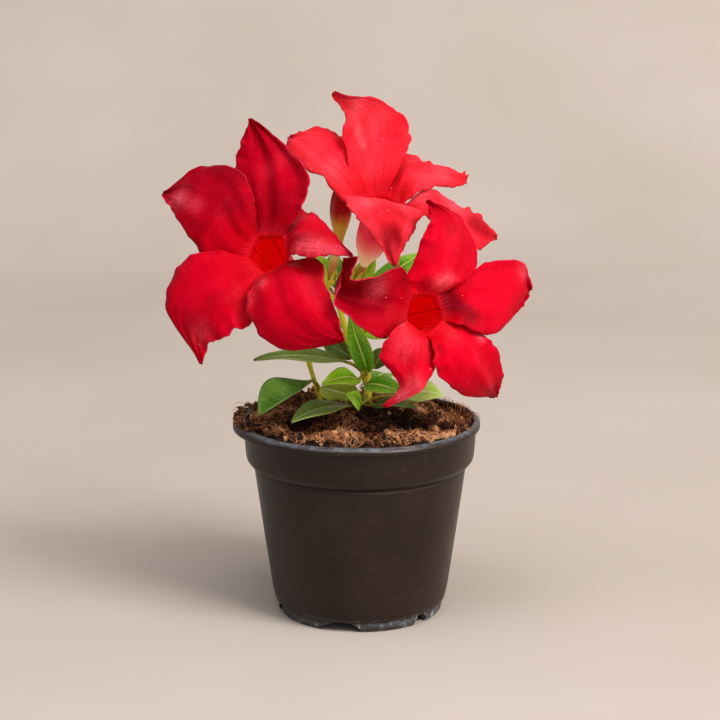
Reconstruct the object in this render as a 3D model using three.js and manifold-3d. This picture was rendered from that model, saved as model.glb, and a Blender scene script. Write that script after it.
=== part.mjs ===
// A young mandevilla in a plastic nursery pot: two shoots in coir, three open flowers and a bud.
// Millimetres, +Z up. Everything is laid out round the pot's axis with the pot's foot at z = 0. The
// finished group is then moved so that its origin is the middle of the bottom of its own box.
import * as THREE from "three";
import { mergeVertices } from "three/addons/utils/BufferGeometryUtils.js";
import Module from "manifold-3d";

const wasm = await Module();
wasm.setup();

// ---- driving dimensions -------------------------------------------------------------------------
const POT_HEIGHT = 83.5;
const LIP_RADIUS = 52.5; // a 10.5 cm pot, measured over its lip
const LIP_HEIGHT = 3.4;
const LIP_SHIFT = 1.5; // the soft lip is pushed out towards -X
const COLLAR_RADIUS = 49.4; // the stacking collar under the lip
const COLLAR_LOW_RADIUS = 48.6;
const COLLAR_LOW = 68.4;
const STEP_RADIUS = 45.4; // where the collar's chamfer meets the wall
const STEP = 64;
const HEEL_RADIUS = 37.9; // the wall's foot, above its rounded heel
const HEEL = 11;
const FOOT_RADIUS = 34.2;
const FLOOR = 4.6;
const WALL = 1.2;
const POT_SIDES = 42;

const SEAT = 0.3; // the gap between pieces that touch
const SOIL_RIM = 84; // the soil's height round the shoots, before its mounds and hollows
const PETAL = 0.9; // blade thicknesses
const LEAF = 0.9;
const THROAT_RADIUS = 8.1; // a flower's throat, where its lobes part
const THROAT_DEPTH = 2.6; // and how far it lies behind the middle of the flower's face
const FUNNEL_LENGTH = 34;
const TUBE_RADIUS = 1.5; // the narrow tube under the funnel, at its foot

const COLOURS = {
  pot: 0x26221f,
  soil: 0x5a3820,
  stem: 0xa3ad3c,
  petal: 0xc40f28,
  tube: 0xdcae62,
  bud: 0x9c1830,
  fresh: 0x6ea53a,
  green: 0x4f7f30,
  old: 0x47602f,
};

// ---- helpers ------------------------------------------------------------------------------------
const vec = (x, y, z) => new THREE.Vector3(x, y, z);
const rad = THREE.MathUtils.degToRad;
const mix = THREE.MathUtils.lerp;
const range = (n) => Array.from({ length: n }, (_, i) => i);

// A closed geometry as a manifold-3d solid.
function solidOf(geometry) {
  const bare = new THREE.BufferGeometry();
  bare.setAttribute("position", geometry.getAttribute("position"));
  bare.setIndex(geometry.index);
  const merged = mergeVertices(bare, 1e-4);
  return new wasm.Manifold(
    new wasm.Mesh({
      numProp: 3,
      vertProperties: new Float32Array(merged.attributes.position.array),
      triVerts: new Uint32Array(merged.index.array),
    }),
  );
}

const largest = (solid) =>
  solid.decompose().reduce((best, next) => (next.volume() > best.volume() ? next : best));

// The way back, for a THREE.Mesh. A bubble or crumb left by joining thin pieces is dropped.
function geometryOf(solid) {
  const { vertProperties, triVerts } = largest(solid.simplify(0.05)).getMesh();
  const geometry = new THREE.BufferGeometry();
  geometry.setAttribute("position", new THREE.BufferAttribute(vertProperties, 3));
  geometry.setIndex(new THREE.BufferAttribute(triVerts, 1));
  geometry.computeVertexNormals();
  return geometry;
}

const joined = (solids) => solids.reduce((whole, next) => whole.add(next));

// A solid made along +Y, moved to a point and turned so that its +Y follows the axis.
function placed(solid, at, axis) {
  const turn = new THREE.Quaternion().setFromUnitVectors(vec(0, 1, 0), axis.clone().normalize());
  return solid.transform(new THREE.Matrix4().compose(at, turn, vec(1, 1, 1)).elements);
}

// A solid through rings of points that all have the same count, closed by a fan at both ends.
function loft(rings) {
  const sides = rings[0].length;
  const middle = (ring) => ring.reduce((sum, p) => sum.add(p), vec(0, 0, 0)).divideScalar(sides);
  const points = [...rings.flat(), middle(rings[0]), middle(rings.at(-1))];
  const foot = rings.length * sides;
  const last = foot - sides;
  const faces = [];
  for (const i of range(sides)) {
    const j = (i + 1) % sides;
    for (let k = 0; k < last; k += sides) {
      faces.push(k + i, k + j, k + j + sides, k + i, k + j + sides, k + i + sides);
    }
    faces.push(foot, j, i, foot + 1, last + i, last + j);
  }
  const geometry = new THREE.BufferGeometry().setFromPoints(points);
  geometry.setIndex(faces);
  return solidOf(geometry);
}

// A round stalk along a smooth curve through the points, with one radius for each of them.
function stalk(points, radii, grown = 0, sides = 8, stepsEach = 3) {
  const curve = new THREE.CatmullRomCurve3(points, false, "centripetal");
  const steps = (points.length - 1) * stepsEach;
  const side = vec(1, 0, 0);
  return loft(
    range(steps + 1).map((k) => {
      const at = (k / steps) * (points.length - 1);
      const low = Math.min(Math.floor(at), points.length - 2);
      const radius = mix(radii[low], radii[low + 1], at - low) + grown;
      const along = curve.getTangent(k / steps);
      side.addScaledVector(along, -side.dot(along)).normalize();
      const across = along.clone().cross(side);
      const centre = curve.getPoint(k / steps);
      return range(sides).map((i) => {
        const turn = (2 * Math.PI * i) / sides;
        return centre
          .clone()
          .addScaledVector(side, radius * Math.cos(turn))
          .addScaledVector(across, radius * Math.sin(turn));
      });
    }),
  );
}

// A thin blade round the points place(row, column), split into triangles alike on both faces.
function blade(rows, columns, place, thickness) {
  const grid = range(rows + 1).map((r) => range(columns + 1).map((c) => place(r, c)));
  const normalAt = (r, c) => {
    const along = grid[Math.min(r + 1, rows)][c].clone().sub(grid[Math.max(r - 1, 0)][c]);
    const across = grid[r][Math.min(c + 1, columns)].clone().sub(grid[r][Math.max(c - 1, 0)]);
    return along.cross(across).normalize();
  };
  const points = [];
  for (const side of [0.5, -0.5])
    for (const r of range(rows + 1))
      for (const c of range(columns + 1)) {
        points.push(grid[r][c].clone().addScaledVector(normalAt(r, c), side * thickness));
      }
  const under = (rows + 1) * (columns + 1);
  const at = (r, c) => r * (columns + 1) + c;
  const faces = [];
  for (const r of range(rows))
    for (const c of range(columns)) {
      const [p, q, s, t] = [at(r, c), at(r + 1, c), at(r + 1, c + 1), at(r, c + 1)];
      faces.push(p, q, s, p, s, t);
      faces.push(p + under, s + under, q + under, p + under, t + under, s + under);
    }
  const wall = (a, b) => faces.push(a, b, b + under, a, b + under, a + under);
  for (const r of range(rows)) {
    wall(at(r + 1, 0), at(r, 0));
    wall(at(r, columns), at(r + 1, columns));
  }
  for (const c of range(columns)) {
    wall(at(0, c), at(0, c + 1));
    wall(at(rows, c + 1), at(rows, c));
  }
  const geometry = new THREE.BufferGeometry().setFromPoints(points);
  geometry.setIndex(faces);
  return solidOf(geometry);
}

// A solid of revolution about Z from an [r, z] outline, counted anticlockwise as seen with r to the right.
const lathed = (outline, sides) =>
  solidOf(
    new THREE.LatheGeometry(
      outline.map(([r, z]) => new THREE.Vector2(r, z)),
      sides,
    ).rotateX(Math.PI / 2),
  );

const plant = new THREE.Group();
function add(name, solid, colour, roughness) {
  const look = new THREE.MeshStandardMaterial({ color: colour, roughness, metalness: 0 });
  const mesh = new THREE.Mesh(geometryOf(solid), look);
  mesh.name = name;
  plant.add(mesh);
}

// ---- pot: one thin moulded shell with a lip, a stacking collar and a notched foot ring ----------
const DRAIN_COUNT = 6;
const DRAIN_TURN = -13; // degrees from -Y to a wide notch
const DRAIN_WIDE = 17;
const DRAIN_NARROW = 8;
const DRAIN_HIGH = 4.1;
const LIP_LOW = POT_HEIGHT - LIP_HEIGHT;
const INSIDE = [
  [HEEL_RADIUS - 4.2, FLOOR + WALL],
  [HEEL_RADIUS - 2.4, FLOOR + 2.4],
  [HEEL_RADIUS - WALL, HEEL],
  [STEP_RADIUS - WALL, STEP],
  [COLLAR_LOW_RADIUS - WALL, COLLAR_LOW + 0.4],
  [COLLAR_RADIUS - WALL, LIP_LOW],
];
const OUTSIDE = [
  [COLLAR_RADIUS - WALL + 0.5, POT_HEIGHT - 0.6],
  [COLLAR_RADIUS + 0.6, POT_HEIGHT],
  [LIP_RADIUS - 1, POT_HEIGHT - 0.3],
  [LIP_RADIUS, POT_HEIGHT - 1.4],
  [LIP_RADIUS, LIP_LOW + 0.5],
  [LIP_RADIUS - 0.8, LIP_LOW],
  [COLLAR_RADIUS, LIP_LOW + 0.2],
  [COLLAR_LOW_RADIUS, COLLAR_LOW],
  [STEP_RADIUS, STEP],
  [HEEL_RADIUS, HEEL],
  [FOOT_RADIUS + 2.7, FLOOR + 1.2],
  [FOOT_RADIUS + 0.8, FLOOR - 0.4],
  [FOOT_RADIUS + 1.2, 2.2],
  [FOOT_RADIUS + 0.4, 0],
  [FOOT_RADIUS - 1.8, 0],
  [FOOT_RADIUS - 2.4, FLOOR],
];
const shell = lathed([[0, FLOOR + WALL], ...INSIDE, ...OUTSIDE, [0, FLOOR]].reverse(), POT_SIDES);
const pushed = shell.warp((p) => {
  if (p[2] > LIP_LOW - 0.1 && Math.hypot(p[0], p[1]) > COLLAR_RADIUS + 0.3) p[0] -= LIP_SHIFT;
});
const potSolid = range(DRAIN_COUNT).reduce((pot, i) => {
  const width = i % 2 ? DRAIN_NARROW : DRAIN_WIDE;
  const arch = new THREE.CylinderGeometry(width / 2, width / 2, 9, 10)
    .rotateZ(Math.PI / 2)
    .scale(1, 1, (2 * DRAIN_HIGH) / width)
    .translate(FOOT_RADIUS, 0, 0)
    .rotateZ(rad(DRAIN_TURN - 90) + (i * 2 * Math.PI) / DRAIN_COUNT);
  return pot.subtract(solidOf(arch));
}, pushed);
add("pot", potSolid, COLOURS.pot, 0.5);

// ---- shoots: two green stems that stand in plain holes in the soil ------------------------------
const SHOOT_FOOT = 55; // how deep the stems reach
const MAIN_RADII = [1.9, 1.8, 1.6, 1.4, 1.2];
const LEFT_RADII = [1.1, 1.1, 0.95, 0.85];
const NODE_LOW = vec(2.4, -2, 102.5); // where the main shoot carries its lower leaves
const FORK = vec(-4.5, 0, 117); // where the right-hand flower's stalk leaves it
const NODE_HIGH = vec(-9.5, 3, 134);
const MAIN_SHOOT = [vec(3.5, -4, SHOOT_FOOT), vec(3.4, -3.8, 84), NODE_LOW, FORK, NODE_HIGH];
const LEFT_NODE = vec(-21.5, 4, 106);
const LEFT_SHOOT = [vec(-15, 9, SHOOT_FOOT), vec(-16.3, 8, 86), LEFT_NODE, vec(-26, 0, 128)];

// ---- the flowers' places: the middle of each throat, the way it faces, and where its stalk comes from
const FLOWERS = {
  left: { mouth: vec(-37.3, -38, 161.8), axis: vec(-0.25, -0.82, 0.52), root: vec(-26, 0, 128) },
  top: { mouth: vec(10.2, -12, 177), axis: vec(0.25, -0.5, 0.83), root: NODE_HIGH },
  right: { mouth: vec(27.1, -42, 137.5), axis: vec(0.46, -0.85, 0.27), root: FORK },
};
const TUBE_BEND = 3; // from the funnel's foot to where the tube turns towards the stalk
const TUBE_REST = 6; // from that bend to the calyx that holds the tube's end
for (const flower of Object.values(FLOWERS)) {
  flower.axis.normalize();
  flower.foot = flower.mouth.clone().addScaledVector(flower.axis, -FUNNEL_LENGTH);
  const towards = flower.root.clone().sub(flower.foot).normalize();
  flower.calyxAxis = flower.axis.clone().multiplyScalar(0.8).sub(towards).normalize();
  flower.calyx = flower.foot
    .clone()
    .addScaledVector(flower.axis, -TUBE_BEND)
    .addScaledVector(flower.calyxAxis, -TUBE_REST);
}
const BUD = { base: vec(-9, 5, 157.5), tip: vec(-6.5, 6, 187), calyx: vec(-13, 5, 141.5) };
BUD.calyxAxis = BUD.base.clone().sub(BUD.calyx).normalize();

// The cup of five pointed sepals at a stalk's end, opening along +Y round the tube.
const CUP_RADIUS = 2.7;
const CUP_HEIGHT = 3.4;
const CUP_FLOOR = 0.2; // the tube's seat, above the middle of the cup
const SEPAL_COUNT = 5;
const SEPAL_LENGTH = 5;
const SEPAL_RADIUS = 0.95;
const cupBody = new THREE.CylinderGeometry(CUP_RADIUS, CUP_RADIUS - 1, CUP_HEIGHT, 8);
const sepal = (i) =>
  new THREE.ConeGeometry(SEPAL_RADIUS, SEPAL_LENGTH, 4)
    .scale(1, 1, 0.6)
    .translate(0, CUP_HEIGHT, CUP_RADIUS - 0.4)
    .rotateY((i * 2 * Math.PI) / SEPAL_COUNT);
const seatHole = new THREE.CylinderGeometry(TUBE_RADIUS + SEAT, TUBE_RADIUS + SEAT, 2 * SEPAL_LENGTH, 8);
const SEPALS = joined([cupBody, ...range(SEPAL_COUNT).map(sepal)].map(solidOf)).subtract(
  solidOf(seatHole.translate(0, SEPAL_LENGTH + CUP_FLOOR, 0)),
);

const cup = ({ calyx, calyxAxis }) => placed(SEPALS, calyx, calyxAxis);

// A flower's own stalk, from the shoot up to its calyx, and the swelling at a joint of a shoot.
const PEDICEL_RADII = [1.1, 1, 1.3];
const pedicel = (from, { calyx, calyxAxis }, grown) =>
  stalk([from, calyx.clone().addScaledVector(calyxAxis, -5), calyx], PEDICEL_RADII, grown, 7, 2);
const knot = (at, radius) => solidOf(new THREE.SphereGeometry(radius, 8, 5).translate(at.x, at.y, at.z));

const mainStems = (grown) => [
  stalk(MAIN_SHOOT, MAIN_RADII, grown),
  knot(NODE_LOW, 2.3 + grown),
  knot(FORK, 1.9 + grown),
  knot(NODE_HIGH, 2 + grown),
  pedicel(NODE_HIGH, FLOWERS.top, grown),
  pedicel(FORK, FLOWERS.right, grown),
  pedicel(NODE_HIGH, BUD, grown),
];
const leftStems = (grown) => [
  stalk(LEFT_SHOOT, LEFT_RADII, grown),
  knot(LEFT_NODE, 1.1 + grown),
  pedicel(FLOWERS.left.root, FLOWERS.left, grown),
];
const mainShoot = joined([...mainStems(0), cup(FLOWERS.top), cup(FLOWERS.right), cup(BUD)]);
const leftShoot = joined([...leftStems(0), cup(FLOWERS.left)]);
add("main_shoot", mainShoot, COLOURS.stem, 0.5);
add("left_shoot", leftShoot, COLOURS.stem, 0.5);

// ---- flowers: a red funnel with five twisted lobes, over a narrow yellow tube -------------------
// Each lobe is given by the middle of its root, in degrees round the throat, and by the points of its two
// edges and its tip. A point is [right, up, forward] in the flower's own face: forward is the way it faces.
// cup is how far a lobe's middle stands forward. Each lobe's clockwise edge lies over its neighbour.
const LOBES = {
  left: [
    {
      root: 98,
      ccw: [[-15.5, 23.5, -3], [-20, 37, -1], [-18.5, 46.5, 1]],
      tip: [-16, 56, 2],
      cw: [[12.5, 17.5, 3], [13.5, 30.5, 3], [1.5, 44.5, 2]],
      cup: -2,
    },
    {
      root: 162,
      ccw: [[-22, -5.5, -2], [-34.5, 5, -1], [-44.5, 16.5, -1]],
      tip: [-50, 24, -3],
      cw: [[-6.5, 16.5, 3], [-14.5, 31.5, 3], [-33.5, 35.5, 0]],
      cup: 2,
    },
    {
      root: 232,
      ccw: [[-4.5, -28, -1], [-10.5, -36, -1], [-19, -39, -5]],
      tip: [-22.5, -46, -10],
      cw: [[-21.5, -2.5, 2.5], [-34.5, -8.5, 1], [-39.5, -24, -3]],
      cup: 2,
    },
    {
      root: 303,
      ccw: [[21, -5, 2], [30, -18, 2], [34.5, -27, -1]],
      tip: [36, -34, -6],
      cw: [[-3.5, -19, 3.5], [0, -31.5, 2], [12.5, -39.5, -4]],
      cup: 3,
    },
    {
      root: 15,
      ccw: [[9, 18, -5], [15, 19, -6], [24.5, 11, -3]],
      tip: [37.5, -2.5, 5],
      cw: [[14, -4, 7], [24, -7, 12], [32, -5, 11]],
      cup: 3,
    },
  ],
  top: [
    {
      root: 88,
      ccw: [[-6.5, 17, 2], [-11, 27.5, 13], [-10.5, 32.5, 22]],
      tip: [-17.5, 34.5, 30],
      cw: [[14.5, 18.5, 9], [20, 28, 14], [11, 34, 22]],
      cup: -3,
    },
    {
      root: 148,
      ccw: [[-15, 10, -1], [-26.5, 22, 1], [-31.5, 34, 3]],
      tip: [-28, 41, 3],
      cw: [[-5, 23, 4], [-9, 34, 8], [-17.5, 41.5, 6]],
      cup: 3,
      blunt: 0.8,
    },
    {
      root: 262,
      ccw: [[10.5, -9.5, 3], [5.5, -18, 1], [-1, -24.5, -2]],
      tip: [-7, -31, -5],
      cw: [[-18, 3.5, 4], [-18.5, -9.5, 4], [-12, -20, 0]],
      cup: 4,
    },
    {
      root: 30,
      ccw: [[17.5, 21.5, 6], [25.5, 14, 8], [39, 10, 6]],
      tip: [41, 7.5, 4],
      cw: [[14, 2, 2], [24, 3.5, 4], [36, 4, 3]],
      cup: 2,
      blunt: 2.4,
    },
    {
      root: 335,
      ccw: [[21.5, 3.5, 2], [32.5, -5.5, 1], [41.5, -11, -2]],
      tip: [48, -16.5, -9],
      cw: [[14, -7, 0], [21, -18, -4], [33.5, -23.5, -8]],
      cup: 2,
    },
  ],
  right: [
    {
      root: 80,
      ccw: [[-4.5, 12.5, -2], [0, 26.5, -1], [6, 36.5, 0]],
      tip: [6.5, 44.5, 0],
      cw: [[15, 10, 3], [25.5, 18, 1], [22.5, 36.5, -2]],
      cup: 3,
    },
    {
      root: 8,
      ccw: [[18.5, 12, -2], [30, 17.5, -2], [50.5, 15.5, -5]],
      tip: [52.5, 4, -6],
      cw: [[15, -7.5, 3], [27, -12, 1], [43, -4.5, -3]],
      cup: 3,
      blunt: 0.8,
    },
    {
      root: 300,
      ccw: [[21, -10.5, 0], [30.5, -18, -2], [35, -29.5, -7]],
      tip: [33.5, -37, -11],
      cw: [[-1, -14, 3], [-1, -23.5, 2], [14, -34.5, -4]],
      cup: 3,
    },
    {
      root: 234,
      ccw: [[1, -12.5, -1], [-0.5, -22.5, -1], [-9, -31, 0]],
      tip: [-24.5, -35, -1],
      cw: [[-20, -6.5, 3], [-24.5, -15.5, 0], [-16.5, -27.5, -2]],
      cup: 3,
    },
    {
      root: 156,
      ccw: [[-21.6, -5.8, 3], [-42.5, 6.7, 4], [-38.5, 15.8, 3]],
      tip: [-35.9, 23.9, 8],
      cw: [[-10.6, 18.1, 4], [-25.7, 15.1, 8], [-37.2, 15.4, 9]],
      cup: -9,
      blunt: 5,
    },
  ],
};
const LOBE_ROWS = 9;
const LOBE_COLUMNS = 4;
const ROOT_REACH = 3; // how far a lobe starts below the throat, inside the funnel's wall
const ROOT_LAP = 4; // degrees that a lobe's root runs on under the next one
const EDGE_LAP = 3; // how far its edge runs on under the next one, near the root
const EDGE_DROP = 1.3; // and how far below it
const BLUNT_TIP = 0.6; // half the width of a lobe's tip
const EDGE_WAVE = 0.8; // how far a lobe's edge waves forward and back

// The flower's own right, up and forward.
function faceOf(flower) {
  const right = vec(0, 0, 1).cross(flower.axis).normalize();
  return { right, up: flower.axis.clone().cross(right), forward: flower.axis };
}

// The degrees round the throat where each lobe's root starts and ends, half way to its neighbours.
function shareThroat(shapes) {
  const order = [...shapes].sort((a, b) => a.root - b.root);
  order.forEach((shape, i) => {
    const next = order[(i + 1) % order.length];
    const half = ((next.root - shape.root + 360) % 360) / 2;
    shape.end = shape.root + half + ROOT_LAP;
    next.start = next.root - half;
  });
}

function lobe(flower, shape) {
  const { right, up, forward } = faceOf(flower);
  const inFace = ([u, v, w]) =>
    flower.mouth
      .clone()
      .addScaledVector(right, u)
      .addScaledVector(up, v)
      .addScaledVector(forward, w);
  const ring = (degrees, r, depth) =>
    inFace([r * Math.cos(rad(degrees)), r * Math.sin(rad(degrees)), depth]);
  const rim = (degrees) => ring(degrees, THROAT_RADIUS, -THROAT_DEPTH);
  const edge = (degrees, side, points) => {
    const across = inFace(shape.ccw[2]).sub(inFace(shape.cw[2])).normalize();
    const tip = inFace(shape.tip).addScaledVector(across, side * (shape.blunt ?? BLUNT_TIP));
    const start = ring(degrees, THROAT_RADIUS - PETAL, -THROAT_DEPTH - ROOT_REACH);
    const through = [start, rim(degrees), ...points.map(inFace), tip];
    return new THREE.CatmullRomCurve3(through, false, "centripetal");
  };
  const cw = edge(shape.start, -1, shape.cw);
  const ccw = edge(shape.end, 1, shape.ccw);
  return blade(
    LOBE_ROWS,
    LOBE_COLUMNS,
    (r, c) => {
      const along = r / LOBE_ROWS;
      const over = c / LOBE_COLUMNS;
      const across = 2 * over - 1;
      const near = cw.getPoint(along);
      const far = ccw.getPoint(along);
      const turn = shape.start + (shape.end - shape.start) * over;
      const round = rim(turn).sub(rim(shape.start).lerp(rim(shape.end), over));
      const bulge = shape.cup * (1 - across ** 2) * Math.sin(Math.PI * along) ** 2;
      const wave = EDGE_WAVE * across ** 2 * Math.sin(11 * along + shape.root + across) * along;
      const low = Math.sin(Math.PI * Math.min(1, 2 * along)) ** 2;
      const under = Math.max(0, across) ** 4 * low;
      const outwards = far.clone().sub(near).normalize();
      return near
        .lerp(far, over)
        .addScaledVector(round, Math.max(0, 1 - 1.7 * along) ** 2)
        .addScaledVector(outwards, EDGE_LAP * under)
        .addScaledVector(forward, bulge + wave - EDGE_DROP * under);
    },
    PETAL,
  );
}

// The red funnel, open at its mouth and hollow down to its foot: heights above the foot and outer radii.
const FUNNEL = [
  [0, 1.7],
  [3, 2.6],
  [7, 4.4],
  [12, 5.9],
  [20, 6.8],
  [28, 7.5],
  [FUNNEL_LENGTH - THROAT_DEPTH, THROAT_RADIUS + 0.4],
];
const funnelOutline = [
  [0, 0],
  ...FUNNEL.map(([high, r]) => [r, high]),
  ...FUNNEL.slice(1)
    .reverse()
    .map(([high, r]) => [r - PETAL, high]),
  [0, 2.2],
];
const FUNNEL_SOLID = lathed(funnelOutline, 16).rotate([-90, 0, 0]);

// The tube runs from its seat in the calyx, round a bend, to just under the funnel.
const TUBE_SEAT = CUP_FLOOR + SEAT;
const TUBE_RADII = [TUBE_RADIUS, 1.8, 1.7];
const TUBE_SIDES = 10;
for (const [name, flower] of Object.entries(FLOWERS)) {
  const funnel = placed(FUNNEL_SOLID, flower.foot, flower.axis);
  shareThroat(LOBES[name]);
  const lobes = LOBES[name].map((shape) => lobe(flower, shape));
  add("corolla_" + name, joined([funnel, ...lobes]), COLOURS.petal, 0.6);
  const seat = flower.calyx.clone().addScaledVector(flower.calyxAxis, TUBE_SEAT);
  const bend = flower.foot.clone().addScaledVector(flower.axis, -TUBE_BEND);
  const end = flower.foot.clone().addScaledVector(flower.axis, -SEAT);
  add("tube_" + name, stalk([seat, bend, end], TUBE_RADII, 0, TUBE_SIDES), COLOURS.tube, 0.5);
}

// ---- bud: still furled to a twisted point, over its own yellow tube -----------------------------
const BUD_PROFILE = [
  [0, 1.7],
  [0.12, 2.3],
  [0.3, 3.7],
  [0.5, 4.6],
  [0.66, 4.5],
  [0.82, 3.1],
  [0.93, 1.5],
  [1, 0.5],
];
const BUD_TWIST = 1.6; // radians between its base and its tip
const BUD_PLEAT = 0.1; // how far its five pleats stand out, as a share of its radius
const BUD_SIDES = 15;
const budTall = BUD.tip.clone().sub(BUD.base);
const budSolid = loft(
  BUD_PROFILE.map(([share, radius]) => {
    const centre = BUD.base.clone().addScaledVector(budTall, share);
    return range(BUD_SIDES).map((i) => {
      const turn = (2 * Math.PI * i) / BUD_SIDES;
      const reach = radius * (1 + BUD_PLEAT * Math.cos(5 * (turn - BUD_TWIST * share)));
      return centre.clone().add(vec(reach * Math.cos(turn), reach * Math.sin(turn), 0));
    });
  }),
);
add("bud", budSolid, COLOURS.bud, 0.5);

const budSeat = BUD.calyx.clone().addScaledVector(BUD.calyxAxis, TUBE_SEAT);
const budMiddle = BUD.calyx.clone().lerp(BUD.base, 0.5);
const budFoot = BUD.base.clone().addScaledVector(budTall, (-2 * SEAT) / budTall.length());
const budTube = stalk([budSeat, budMiddle, budFoot], [TUBE_RADIUS, 1.9, 1.7], 0, TUBE_SIDES);
add("tube_bud", budTube, COLOURS.tube, 0.5);

// ---- soil: loose coir heaped round the shoots, with a plain hole for each -----------------------
const SOIL_SIDES = 36;
const MOUNDS = [
  { x: 0, y: 0, reach: 26, rise: 6 },
  { x: -20, y: 36, reach: 18, rise: 2.5 },
  { x: 38, y: 22, reach: 20, rise: -4.5 },
  { x: -44, y: -6, reach: 8, rise: 1.5 },
];
function soilHeight(x, y) {
  const heaped = MOUNDS.reduce(
    (sum, m) => sum + m.rise * Math.exp(-((x - m.x) ** 2 + (y - m.y) ** 2) / m.reach ** 2),
    SOIL_RIM - 1,
  );
  const coarse = Math.sin(x * 0.61 + 1.3 * Math.sin(y * 0.43)) * Math.cos(y * 0.57 - x * 0.2);
  const fine = Math.sin(x * 1.7 - y * 0.9) * Math.sin(y * 1.5 + x * 0.6);
  return heaped + 0.9 * coarse + 0.5 * fine;
}
const soilRing = (r, height) =>
  range(SOIL_SIDES).map((i) => {
    const turn = (2 * Math.PI * i) / SOIL_SIDES;
    const [x, y] = [r * Math.cos(turn), r * Math.sin(turn)];
    return vec(x, y, height(x, y));
  });
const soilRings = [
  ...INSIDE.map(([r, z]) => soilRing(r - SEAT - 0.15, () => z + SEAT)),
  ...[47.6, 45, 40, 34, 28, 22, 16, 10, 5, 1.5].map((r) => soilRing(r, soilHeight)),
];
const holeFoot = ([foot]) =>
  solidOf(new THREE.CylinderGeometry(2, 2, 4 * SEAT, 8).rotateX(Math.PI / 2).translate(...foot));
const holes = [
  stalk(MAIN_SHOOT, MAIN_RADII, SEAT),
  stalk(LEFT_SHOOT, LEFT_RADII, SEAT),
  holeFoot(MAIN_SHOOT),
  holeFoot(LEFT_SHOOT),
];
const soilSolid = holes.reduce((soil, hole) => soil.subtract(hole), loft(soilRings));
add("soil", soilSolid, COLOURS.soil, 0.95);

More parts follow.
